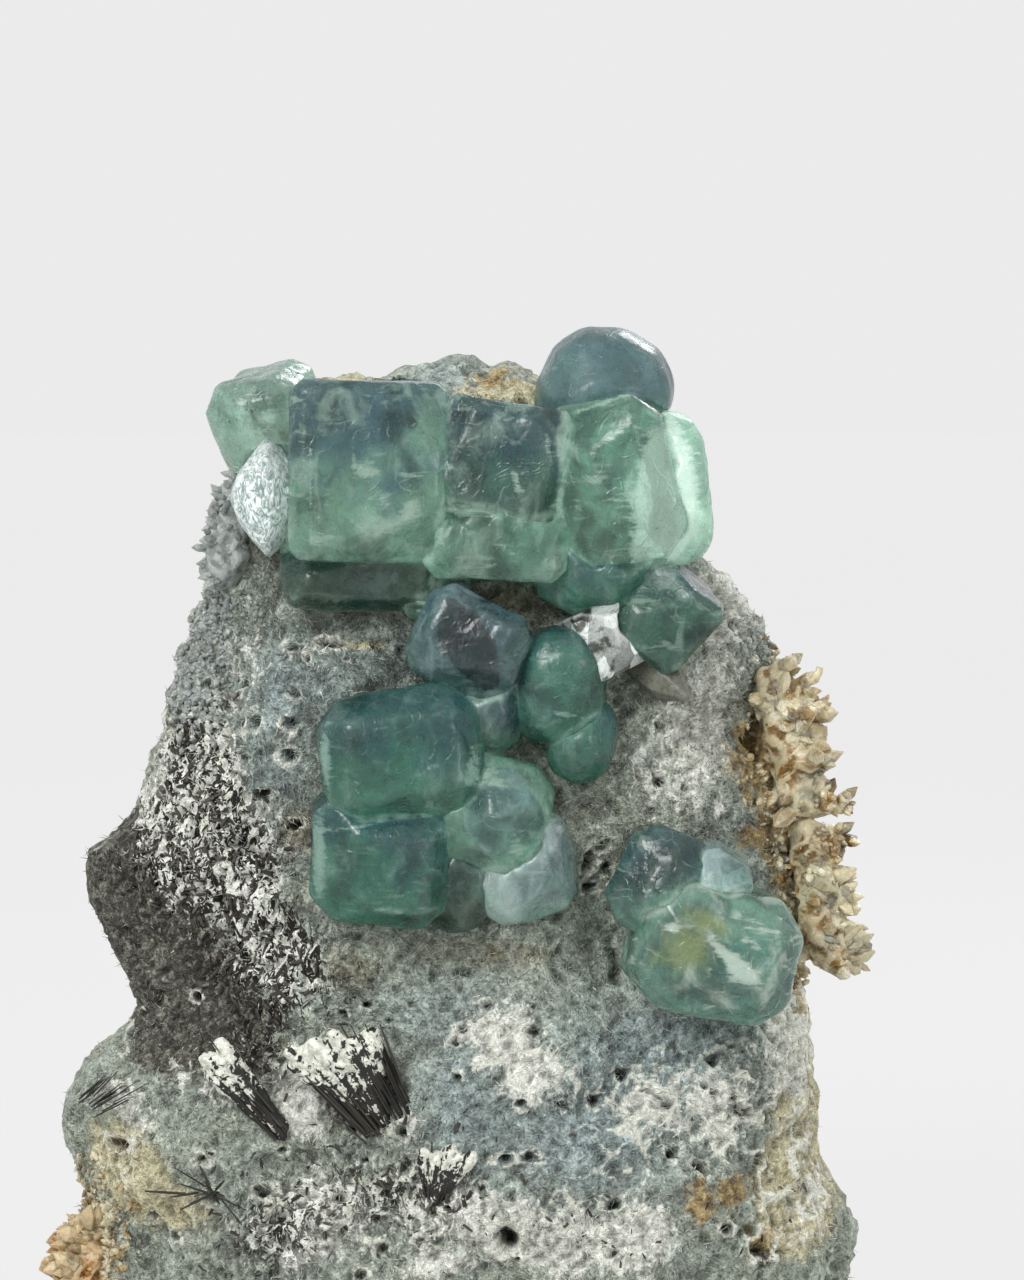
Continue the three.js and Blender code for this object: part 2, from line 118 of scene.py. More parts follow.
def smooth_noise(points: np.ndarray, size: float, seed: int) -> np.ndarray:
    """Smooth noise over space.

    Args:
        points: Places in millimetres, one row each.
        size: Size of one cell of the pattern, in millimetres.
        seed: Picks the pattern.

    Returns:
        One value from about -1 to 1 for each point.
    """
    scaled = points @ TURN / size
    cell = np.floor(scaled)
    part = scaled - cell
    fade = part * part * (3 - 2 * part)
    total = np.zeros(len(points))
    for corner in np.ndindex(2, 2, 2):
        step = np.array(corner)
        weight = np.prod(np.where(step == 1, fade, 1 - fade), axis=1)
        total += weight * lattice(cell + step, seed)
    return total


def rough_noise(points: np.ndarray, size: float, seed: int, octaves: int = 3) -> np.ndarray:
    """Add ever finer layers of smooth noise.

    Args:
        points: Places in millimetres, one row each.
        size: Size of the broadest layer's cells, in millimetres.
        seed: Picks the pattern.
        octaves: Number of layers, each half as broad and as strong as the one before.

    Returns:
        One value from about -1 to 1 for each point.
    """
    layers = [
        smooth_noise(points, size / 2**i, seed + 17 * i) / 2**i for i in range(octaves)
    ]
    return sum(layers) / (2 - 2 ** (1 - octaves))


def drift(points: np.ndarray, size: float, seed: int) -> np.ndarray:
    """Three smooth noises side by side, which give each point a direction."""
    return np.stack([smooth_noise(points, size, seed + k) for k in range(3)], axis=1)


def ridges(points: np.ndarray, size: float, seed: int) -> np.ndarray:
    """Noise with sharp crests, as on felted or splintered stone, from 0 to 1."""
    return 1 - np.abs(smooth_noise(points, size, seed)) * 2


def cell_distance(points: np.ndarray, size: float, seed: int) -> np.ndarray:
    """Distance to the nearest of a field of scattered points.

    Args:
        points: Places in millimetres, one row each.
        size: Mean spacing of the scattered points, in millimetres.
        seed: Picks the field.

    Returns:
        The distance in cell sizes, one value for each point.
    """
    scaled = points @ TURN / size
    cell = np.floor(scaled)
    nearest = np.full(len(points), 9.0)
    for corner in np.ndindex(3, 3, 3):
        home = cell + np.array(corner) - 1
        jitter = np.stack([lattice(home, seed + k) for k in range(3)], axis=1)
        away = home + 0.5 + 0.42 * jitter - scaled
        nearest = np.minimum(nearest, (away**2).sum(axis=1))
    return np.sqrt(nearest)


def unit(rows: np.ndarray) -> np.ndarray:
    """Scale each row of an array to length 1."""
    return rows / np.maximum(np.linalg.norm(rows, axis=-1, keepdims=True), 1e-9)


def ease(low: float, high: float, value: np.ndarray) -> np.ndarray:
    """Rise smoothly from 0 where a value is low to 1 where it is high."""
    share = np.clip((value - low) / (high - low), 0, 1)
    return share * share * (3 - 2 * share)


@dataclass(frozen=True)
class Blot:
    """A soft oval patch on the crystal face, in millimetres across and up.

    Attributes:
        x: Middle of the patch across the face.
        z: Middle of the patch up the face.
        wide: Half width.
        high: Half height.
        weight: Strength at the middle.
        slant: Turn of the patch, in degrees towards the upper right.
    """

    x: float
    z: float
    wide: float
    high: float
    weight: float = 1.0
    slant: float = 0.0

    def at(self, points: np.ndarray) -> np.ndarray:
        """Strength of the patch at each point.

        Args:
            points: Places in millimetres, one row each.

        Returns:
            One value for each point, falling softly from the weight to 0.
        """
        turn = math.radians(self.slant)
        across = points[:, 0] - self.x
        up = points[:, 2] - self.z
        along = (across * math.cos(turn) + up * math.sin(turn)) / self.wide
        aside = (up * math.cos(turn) - across * math.sin(turn)) / self.high
        return self.weight * np.exp(-(along**2 + aside**2))


def blots(patches: Sequence[Blot], points: np.ndarray) -> np.ndarray:
    """Join patches into one mask from 0 to 1."""
    total = sum((patch.at(points) for patch in patches), np.zeros(len(points)))
    return np.clip(total, 0, 1)


# ----- Mesh handling -----


def pick(obj: bpy.types.Object) -> None:
    """Make one object the only selected and the active one.

    Args:
        obj: The object to work on next.
    """
    bpy.ops.object.select_all(action="DESELECT")
    obj.select_set(True)
    bpy.context.view_layer.objects.active = obj


@contextmanager
def editing(obj: bpy.types.Object, mode: str = "VERT") -> Iterator[None]:
    """Work on an object in edit mode and leave it in object mode.

    Args:
        obj: The mesh object to edit.
        mode: Kind of element that is selected: VERT, EDGE or FACE.

    Yields:
        Nothing: the body of the with statement runs in edit mode.
    """
    pick(obj)
    bpy.ops.object.mode_set(mode="EDIT")
    bpy.ops.mesh.select_mode(type=mode)
    yield
    bpy.ops.object.mode_set(mode="OBJECT")


def choose_faces(obj: bpy.types.Object, wanted: Sequence[bool]) -> None:
    """Select just these faces of an object for the next edit.

    Args:
        obj: The mesh object, in object mode.
        wanted: Whether each face is selected.
    """
    with editing(obj, "FACE"):
        bpy.ops.mesh.select_all(action="DESELECT")
    obj.data.polygons.foreach_set("select", wanted)


def modify(obj: bpy.types.Object, kind: str, **settings: object) -> None:
    """Add one modifier and apply it.

    Args:
        obj: The object, in object mode.
        kind: Blender's name for the type of modifier.
        settings: Properties of the modifier.
    """
    pick(obj)
    modifier = obj.modifiers.new(kind.lower(), kind)
    for name, value in settings.items():
        setattr(modifier, name, value)
    bpy.ops.object.modifier_apply(modifier=modifier.name)


def rows_of(items: bpy.types.bpy_prop_collection, name: str, kind: type, width: int) -> np.ndarray:
    """Read one property of all vertices, edges or faces of a mesh.

    Args:
        items: The vertices, edges or faces.
        name: Name of the property.
        kind: Type of its numbers.
        width: How many numbers each item has.

    Returns:
        One row for each item.
    """
    flat = np.empty(len(items) * width, kind)
    items.foreach_get(name, flat)
    return flat.reshape(-1, width)


def places(mesh: bpy.types.Mesh) -> np.ndarray:
    """Vertex places of a mesh, one row each."""
    return rows_of(mesh.vertices, "co", np.float32, 3).astype(float)


def facings(mesh: bpy.types.Mesh) -> np.ndarray:
    """Vertex normals of a mesh, one row each."""
    return rows_of(mesh.vertices, "normal", np.float32, 3).astype(float)


def place_all(mesh: bpy.types.Mesh, points: np.ndarray) -> None:
    """Move every vertex of a mesh to its row of an array."""
    mesh.vertices.foreach_set("co", points.astype(np.float32).ravel())
    mesh.update()


def paint(mesh: bpy.types.Mesh, name: str, values: np.ndarray) -> None:
    """Store one number on each vertex, for a material to read."""
    layer = mesh.attributes.new(name, "FLOAT", "POINT")
    layer.data.foreach_set("value", values.astype(np.float32))


def spread(mesh: bpy.types.Mesh, values: np.ndarray, rounds: int) -> np.ndarray:
    """Average values with those of neighbouring vertices.

    Args:
        mesh: Mesh whose edges say which vertices are neighbours.
        values: One row for each vertex.
        rounds: How often the averaging is repeated.

    Returns:
        The averaged values.
    """
    pairs = rows_of(mesh.edges, "vertices", np.int32, 2)
    count = np.bincount(pairs.ravel(), minlength=len(values)).astype(float)
    count = np.maximum(count, 1)
    rows = values.reshape(len(values), -1).copy()
    for _ in range(rounds):
        total = np.zeros_like(rows)
        for column in range(rows.shape[1]):
            total[:, column] = np.bincount(
                pairs[:, 0], rows[pairs[:, 1], column], len(rows)
            ) + np.bincount(pairs[:, 1], rows[pairs[:, 0], column], len(rows))
        rows = 0.5 * rows + 0.5 * total / count[:, None]
    return rows.reshape(values.shape)


def edge_sharpness(mesh: bpy.types.Mesh, reach: int) -> np.ndarray:
    """How convex the surface is around each vertex.

    Args:
        mesh: A finished mesh, in millimetres.
        reach: Rounds of averaging, which set how far from an edge it is felt.

    Returns:
        The height of each vertex over the mean of its surroundings, in millimetres.
    """
    points = places(mesh)
    softened = spread(mesh, points, reach)
    return ((points - softened) * facings(mesh)).sum(axis=1)


def node_copy(node: str, name: str) -> bpy.types.Object:
    """Copy a frame node into a new object, in millimetres, with its doubles merged.

    Args:
        node: Name of the frame node.
        name: Name of the new piece.

    Returns:
        The new object.
    """
    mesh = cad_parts[node].data.copy()
    mesh.name = name
    mesh.materials.clear()
    mesh.transform(Matrix.Scale(METRE, 4))
    obj = bpy.data.objects.new(name, mesh)
    bpy.context.scene.collection.objects.link(obj)
    with editing(obj):
        bpy.ops.mesh.select_all(action="SELECT")
        bpy.ops.mesh.remove_doubles(threshold=0.004)
        bpy.ops.mesh.customdata_custom_splitnormals_clear()
    return obj


def node_tree(names: Sequence[str]) -> BVHTree:
    """Make a search tree of several frame nodes, in millimetres.

    Args:
        names: Names of the nodes.

    Returns:
        The tree.
    """
    corners: list[Vector] = []
    faces: list[tuple[int, ...]] = []
    for name in names:
        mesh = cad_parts[name].data
        start = len(corners)
        corners.extend(vertex.co * METRE for vertex in mesh.vertices)
        faces.extend(tuple(start + i for i in face.vertices) for face in mesh.polygons)
    return BVHTree.FromPolygons(corners, faces)


def finish_piece(
    obj: bpy.types.Object,
    material: bpy.types.Material,
    nodes: Sequence[str] = (),
    smooth: bool = True,
) -> bpy.types.Object:
    """Turn a piece into metres, dress it and fix it to the frame.

    Args:
        obj: The piece, in millimetres.
        material: Its finish.
        nodes: Frame nodes that the piece stands for.
        smooth: Whether its faces are shaded smoothly.

    Returns:
        The same object.
    """
    obj.data.transform(Matrix.Scale(1 / METRE, 4))
    obj.data.materials.append(material)
    obj.data.polygons.foreach_set("use_smooth", [smooth] * len(obj.data.polygons))
    obj.data.update()
    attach(obj, "root")
    if nodes:
        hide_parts(*nodes)
    log.info("%s: %d faces", obj.name, len(obj.data.polygons))
    return obj


# ----- Shader building -----


class Number:
    """A shader value. Python arithmetic on it adds Math nodes to its graph."""

    def __init__(self, graph: "Graph", socket: bpy.types.NodeSocket) -> None:
        """Keep the graph and the socket that gives the value."""
        self.graph = graph
        self.socket = socket

    def math(self, operation: str, *others: "Number | float") -> "Number":
        """Feed this value and others to one Math node.

        Args:
            operation: What the node does.
            others: The values that follow this one.

        Returns:
            The node's result.
        """
        values = dict(enumerate((self, *others)))
        node = self.graph.node("ShaderNodeMath", {"operation": operation}, values)
        return Number(self.graph, node.outputs[0])

    def swapped(self, operation: str, other: float) -> "Number":
        """Feed a plain number and then this value to one Math node.

        Args:
            operation: What the node does.
            other: The plain number.

        Returns:
            The node's result.
        """
        values = {0: other, 1: self}
        node = self.graph.node("ShaderNodeMath", {"operation": operation}, values)
        return Number(self.graph, node.outputs[0])

    def __add__(self, other: "Number | float") -> "Number":
        """Sum of two values."""
        return self.math("ADD", other)

    def __sub__(self, other: "Number | float") -> "Number":
        """Difference of two values."""
        return self.math("SUBTRACT", other)

    def __mul__(self, other: "Number | float") -> "Number":
        """Product of two values."""
        return self.math("MULTIPLY", other)

    def __rsub__(self, other: float) -> "Number":
        """Difference with the plain number first."""
        return self.swapped("SUBTRACT", other)

    __radd__ = __add__
    __rmul__ = __mul__

    def size(self) -> "Number":
        """The value without its sign."""
        return self.math("ABSOLUTE")

    def most(self, other: "Number | float") -> "Number":
        """The larger of two values."""
        return self.math("MAXIMUM", other)

    def held(self) -> "Number":
        """The value kept between 0 and 1."""
        return self.math("MAXIMUM", 0.0).math("MINIMUM", 1.0)

    def ease(self, low: float, high: float) -> "Number":
        """Rise smoothly from 0 to 1.

        Args:
            low: Where the rise starts.
            high: Where it ends.

        Returns:
            The risen value.
        """
        node = self.graph.node(
            "ShaderNodeMapRange",
            {"interpolation_type": "SMOOTHSTEP"},
            {"Value": self, "From Min": low, "From Max": high},
        )
        return Number(self.graph, node.outputs[0])

    def fall(self, low: float, high: float) -> "Number":
        """Fall smoothly from 1 at low to 0 at high."""
        return 1 - self.ease(low, high)

    def crest(self, width: float) -> "Number":
        """1 where noise crosses its middle value, 0 further off than the width."""
        return (self - 0.5).size().fall(0.0, width)


Paint = bpy.types.NodeSocket | Colour


class Graph:
    """The node tree of one material."""

    def __init__(self, name: str) -> None:
        """Start an empty material.

        Args:
            name: Name of the material.
        """
        self.material = bpy.data.materials.new(name)
        self.material.use_nodes = True
        self.tree = self.material.node_tree
        self.tree.nodes.clear()
        where = self.tree.nodes.new("ShaderNodeTexCoord")
        self.where = where.outputs["Object"]

    def node(
        self,
        kind: str,
        settings: dict[str, object] | None = None,
        values: dict[str | int, object] | None = None,
    ) -> bpy.types.Node:
        """Add one node.

        Args:
            kind: Blender's name for the type of node.
            settings: Properties of the node, set first.
            values: What goes into its sockets, by name or number: a value or a link.

        Returns:
            The new node.
        """
        made = self.tree.nodes.new(kind)
        for name, setting in (settings or {}).items():
            setattr(made, name, setting)
        for key, value in (values or {}).items():
            socket = made.inputs[key]
            source = value.socket if isinstance(value, Number) else value
            if isinstance(source, bpy.types.NodeSocket):
                self.tree.links.new(source, socket)
            elif isinstance(source, tuple) and socket.type == "RGBA":
                socket.default_value = (*source[:3], 1.0)
            else:
                socket.default_value = source
        return made

    def painted(self, name: str) -> Number:
        """A number that was stored on the vertices."""
        node = self.node("ShaderNodeAttribute", {"attribute_name": name})
        return Number(self, node.outputs["Fac"])

    def mapped(self, scale: Point, turn: Point = (0.0, 0.0, 0.0)) -> bpy.types.NodeSocket:
        """Stretch and turn the object's coordinates.

        Args:
            scale: Factor along each axis.
            turn: Rotation about each axis, in degrees.

        Returns:
            The mapped vector.
        """
        angles = tuple(math.radians(angle) for angle in turn)
        values = {"Vector": self.where, "Rotation": angles, "Scale": scale}
        return self.node("ShaderNodeMapping", {}, values).outputs[0]

    def noise(
        self,
        size: float,
        detail: float = 3.0,
        rough: float = 0.55,
        twist: float = 0.0,
        where: bpy.types.NodeSocket | None = None,
    ) -> Number:
        """Noise with features of a size in millimetres.

        Args:
            size: Size of the broadest features, in millimetres.
            detail: Number of finer layers.
            rough: Strength of each finer layer.
            twist: How far the pattern is dragged about.
            where: Coordinates, if not the object's own.

        Returns:
            A value around 0.5.
        """
        values = {
            "Vector": where or self.where,
            "Scale": METRE / size,
            "Detail": detail,
            "Roughness": rough,
            "Distortion": twist,
        }
        return Number(self, self.node("ShaderNodeTexNoise", {}, values).outputs[0])

    def cells(
        self,
        size: float,
        feature: str = "F1",
        random: float = 1.0,
        where: bpy.types.NodeSocket | None = None,
    ) -> Number:
        """Distance pattern of scattered cells.

        Args:
            size: Size of a cell, in millimetres.
            feature: Which distance is measured, such as F1 or DISTANCE_TO_EDGE.
            random: How irregular the cells are.
            where: Coordinates, if not the object's own.

        Returns:
            The distance in cell sizes.
        """
        values = {"Vector": where or self.where, "Scale": METRE / size, "Randomness": random}
        node = self.node("ShaderNodeTexVoronoi", {"feature": feature}, values)
        return Number(self, node.outputs["Distance"])

    def patches(self, size: float, where: bpy.types.NodeSocket | None = None) -> Number:
        """A flat value for each of many straight-sided patches.

        Args:
            size: Size of a patch, in millimetres.
            where: Coordinates, if not the object's own.

        Returns:
            A value from 0 to 1.
        """
        values = {"Vector": where or self.where, "Scale": METRE / size}
        node = self.node("ShaderNodeTexVoronoi", {"feature": "F1"}, values)
        split = self.node("ShaderNodeSeparateColor", {}, {0: node.outputs["Color"]})
        return Number(self, split.outputs[0])

    def warped(self, size: float, reach: float) -> bpy.types.NodeSocket:
        """The object's coordinates, dragged about by coloured noise.

        Args:
            size: Size of the noise that drags them, in millimetres.
            reach: How far they are dragged, in millimetres.

        Returns:
            The dragged vector.
        """
        values = {"Vector": self.where, "Scale": METRE / size, "Detail": 2.0}
        noise = self.node("ShaderNodeTexNoise", {}, values)
        settings = {"operation": "MULTIPLY_ADD"}
        pull = (reach / METRE,) * 3
        values = {0: noise.outputs["Color"], 1: pull, 2: self.where}
        return self.node("ShaderNodeVectorMath", settings, values).outputs[0]

    def mix(self, share: Number | float, first: Paint, second: Paint) -> bpy.types.NodeSocket:
        """Mix two colours.

        Args:
            share: 0 gives the first colour, 1 the second.
            first: A colour or a link to one.
            second: A colour or a link to one.

        Returns:
            The mixed colour.
        """
        settings = {"data_type": "RGBA", "blend_type": "MIX"}
        node = self.node("ShaderNodeMix", settings, {0: share, 6: first, 7: second})
        return node.outputs[2]

    def shaded(self, colour: Paint, light: Number) -> bpy.types.NodeSocket:
        """Darken or brighten a colour by a value.

        Args:
            colour: A colour or a link to one.
            light: The factor, where 1 leaves the colour as it is.

        Returns:
            The shaded colour.
        """
        grey = self.node("ShaderNodeCombineColor", {}, {0: light, 1: light, 2: light})
        settings = {"data_type": "RGBA", "blend_type": "MULTIPLY"}
        values = {0: 1.0, 6: colour, 7: grey.outputs[0]}
        return self.node("ShaderNodeMix", settings, values).outputs[2]

    def bump(
        self, height: Number, depth: float, strength: float = 1.0
    ) -> bpy.types.NodeSocket:
        """Turn a height into a normal.

        Args:
            height: Height of the surface, 0 to 1.
            depth: What a height of 1 stands for, in millimetres.
            strength: How much of the relief is kept.

        Returns:
            The normal.
        """
        values = {"Height": height, "Distance": depth / METRE, "Strength": strength}
        return self.node("ShaderNodeBump", {}, values).outputs[0]

    def close(self, values: dict[str, object]) -> bpy.types.Material:
        """End the tree in one surface shader.

        Args:
            values: What goes into the shader's sockets.

        Returns:
            The finished material.
        """
        shader = self.node("ShaderNodeBsdfPrincipled", {}, values)
        output = self.tree.nodes.new("ShaderNodeOutputMaterial")
        self.tree.links.new(shader.outputs[0], output.inputs["Surface"])
        return self.material


# ----- Finishes -----


@dataclass(frozen=True)
class Fluorite:
    """Glassy fluorite with clouds, veils, healed cracks and pale thin edges, and with painted light and
    shade.

    Attributes:
        name: Name of the material.
        low: Colour in the lower part of a crystal.
        high: Colour in its upper part.
        pale: Colour of thin edges and veils, and of painted light in pale patches, on rims and where
            crystals meet.
        dark: Colour of shaded depths, inclusions and veins, and of painted shade.
        split: Height in the crystal, 0 to 1, where the two colours meet.
        veils: Strength of the pale veils.
        specks: Strength of the dark inclusions.
        frost: How matt the surface is.
        clear: Share of light that passes straight through.
    """

    name: str
    low: Colour
    high: Colour
    pale: Colour = tone("b9d6c6")
    dark: Colour = tone("1d3a38")
    split: float = 0.5
    veils: float = 0.5
    specks: float = 0.3
    frost: float = 0.16
    clear: float = 0.6

    def colour(self, graph: Graph) -> bpy.types.NodeSocket:
        """Mix the crystal's colour from its zones, clouds, veils and inclusions, with painted light and
        shade in patches, on rims and where crystals meet.

        Args:
            graph: The material that is being built.

        Returns:
            The colour.
        """
        zone = graph.painted("rise") + (graph.noise(6.0, 2.0) - 0.5) * 1.5
        body = graph.mix(zone.ease(self.split - 0.25, self.split + 0.25), self.low, self.high)
        depth = graph.noise(3.8, 3.0, 0.55, 0.5, graph.mapped((1.0, 1.0, 0.8), (0, 20, 0)))
        body = graph.mix(depth.ease(0.45, 0.64) * 0.6, body, self.dark)
        cloud = graph.noise(3.1, 5.0, 0.6, 0.9, graph.mapped((1.0, 1.0, 0.6), (10, -24, 8)))
        body = graph.mix((cloud.ease(0.5, 0.68) * self.veils * 0.9).held(), body, self.pale)
        broad = graph.patches(5.0, graph.mapped((1.0, 1.0, 0.5), (14, 8, 20)))
        fine = graph.patches(1.7, graph.mapped((1.0, 1.0, 0.6), (-12, 30, 5)))
        body = graph.shaded(body, broad * 0.4 + fine * 0.26 + 0.72)
        body = graph.shaded(body, graph.noise(0.7, 4.0, 0.7) * 0.7 + 0.65)
        plane = graph.noise(1.7, 4.0, 0.66, 0.7, graph.mapped((0.5, 0.5, 1.9), (20, 38, 12)))
        flash = plane.ease(0.56, 0.66) * graph.noise(5.0, 1.0).ease(0.42, 0.56)
        body = graph.mix((flash * self.veils * 1.1).held(), body, self.pale)
        crack = graph.cells(7.5, "DISTANCE_TO_EDGE", 1.0, graph.warped(3.0, 2.6)).fall(0.0, 0.014)
        broken = graph.noise(1.9, 2.0).ease(0.48, 0.6)
        body = graph.mix((crack * broken * self.veils * 0.7).held(), body, self.pale)
        speck = graph.noise(0.6, 3.0, 0.62).ease(0.6, 0.68) * graph.noise(3.5, 1.0).ease(0.42, 0.58)
        body = graph.mix((speck * self.specks).held(), body, self.dark)
        ragged = (graph.noise(1.0, 5.0, 0.72, 0.9) - 0.5) * 1.5 + (fine - 0.5) * 0.5
        # Painted shade in dark patches, together with the real dark vein of the veined cube.
        body = graph.mix((graph.painted("shade") + ragged).ease(0.3, 0.9) * 0.8, body, self.dark)
        gold = (graph.painted("yellow") + ragged * 0.7).ease(0.2, 1.1) * 0.8
        body = graph.mix(gold, body, tone("a9b878"))
        # Painted light: pale patches where light shows through the crystal, from the glow patches, ragged
        # noise and slanted streaks.
        streak = graph.noise(0.9, 4.0, 0.7, 0.9, graph.mapped((0.45, 0.45, 2.2), (14, 42, 10)))
        lit = graph.painted("glow") * 1.15 + ragged * 0.5 + (streak - 0.5) * 2.2
        body = graph.mix(lit.ease(0.5, 0.95) * 0.85, body, self.pale)
        grain = graph.noise(1.1, 3.0).ease(0.32, 0.62)
        # Painted light: broad convex rims are drawn paler, as light that shows through thin edges.
        body = graph.mix(graph.painted("rim") * (grain * 0.3 + 0.12), body, self.pale)
        worn = graph.painted("edge").ease(0.7, 1.8) * grain
        body = graph.mix((worn * 0.7).held(), body, self.pale)
        # Painted light where crystals meet: the groove between them is drawn pale, as light that comes
        # through, in place of its shade.
        seam = graph.painted("join_light").ease(0.5, 1.0)
        return graph.mix((seam * (grain * 0.65 + 0.12)).held(), body, self.pale)

    def material(self) -> bpy.types.Material:
        """Build the finish.

        Returns:
            The material.
        """
        graph = Graph(self.name)
        frost = graph.noise(0.9, 4.0, 0.7).ease(0.35, 0.8)
        steps = graph.noise(2.6, 2.0, 0.5, 0.8).crest(0.03)
        relief = graph.noise(0.45, 3.0, 0.6) * 0.35 + graph.noise(1.9, 3.0) * 0.65 + steps * 0.2
        body = self.colour(graph)
        # A faint painted glow stands for the light that comes through where crystals meet, on their broad
        # rims and in their pale patches.
        through = graph.painted("join_light") * 0.1 + graph.painted("rim") * 0.02
        through = (through + graph.painted("glow").ease(0.75, 1.1) * 0.13).held()
        return graph.close(
            {
                "Base Color": body,
                "Emission Color": graph.mix(through, tone("000000"), body),
                "Emission Strength": 1.0,
                "Roughness": frost * 0.25 + self.frost,
                "IOR": 1.43,
                "Subsurface Weight": 0.6,
                "Subsurface Radius": (0.8, 1.0, 0.95),
                "Subsurface Scale": 1.1 / METRE,
                "Transmission Weight": self.clear,
                "Coat Weight": 0.12,
                "Coat Roughness": 0.08,
                "Normal": graph.bump(relief, 0.16, 0.7),
            }
        )


@dataclass(frozen=True)
class EtchedFace:
    """Fluorite face that was etched to a white, net-like frost."""

    name: str = "etched_fluorite"

    def material(self) -> bpy.types.Material:
        """Build the finish.

        Returns:
            The material.
        """
        graph = Graph(self.name)
        where = graph.mapped((1.0, 1.0, 0.55), (0, 16, 0))
        flake = graph.patches(0.5, where)
        seam = graph.cells(0.5, "DISTANCE_TO_EDGE", 1.0, where).ease(0.0, 0.16)
        glow = graph.noise(0.42, 4.0, 0.75, 1.4, where).ease(0.34, 0.54)
        light = (flake * seam * 0.3 + glow * 0.75).held()
        body = graph.mix(light, tone("82a09c"), tone("f0f8f5"))
        body = graph.mix(graph.painted("edge").ease(0.2, 1.2) * 0.5, body, tone("e8f2ee"))
        return graph.close(
            {
                "Base Color": body,
                "Roughness": 0.72 - light * 0.2,
                "Subsurface Weight": 0.4,
                "Subsurface Radius": (0.8, 1.0, 1.0),
                "Subsurface Scale": 0.8 / METRE,
                "Normal": graph.bump(light, 0.3, 0.9),
            }
        )


@dataclass(frozen=True)
class Quartz:
    """Small quartz crystals, clear to iron stained.

    Attributes:
        name: Name of the material.
        clean: Colour of clean crystal.
        stain: Colour of stained crystal; on clear quartz, the colour of painted shade.
        pale: Colour of tips and edges.
        cover: Share of the crystals that is stained; on clear quartz, the share in painted shade.
        clear: Share of light that passes straight through.
        facets: Strength of the painted light and shade on its inner facets.
    """

    name: str
    clean: Colour
    stain: Colour
    pale: Colour
    cover: float = 0.5
    clear: float = 0.25
    facets: float = 0.3

    def material(self) -> bpy.types.Material:
        """Build the finish.

        Returns:
            The material.
        """
        graph = Graph(self.name)
        stain = graph.noise(3.0, 5.0, 0.72, 0.7).ease(0.76 - self.cover * 0.5, 0.88 - self.cover * 0.5)
        fine = graph.noise(0.35, 3.0, 0.6)
        # Iron stain on most quartz; on clear quartz this dark colour is painted shade.
        body = graph.mix(stain, self.clean, self.stain)
        body = graph.shaded(body, fine * 0.9 + 0.55)
        # Painted light and shade: inner facets are drawn lighter and darker, as if some catch the light
        # and some lie in shade.
        facet = graph.patches(1.5, graph.mapped((1.0, 1.0, 0.6), (20, 24, 10)))
        body = graph.shaded(body, (facet - 0.5) * 2 * self.facets + 1)
        body = graph.mix(graph.painted("edge").ease(0.15, 1.0) * 0.6, body, self.pale)
        return graph.close(
            {
                "Base Color": body,
                "Roughness": fine * 0.35 + 0.12,
                "IOR": 1.54,
                "Subsurface Weight": 0.3,
                "Subsurface Radius": (1.0, 0.8, 0.6),
                "Subsurface Scale": 0.8 / METRE,
                "Transmission Weight": self.clear,
                "Normal": graph.bump(fine + graph.noise(1.2, 3.0), 0.12, 0.7),
            }
        )


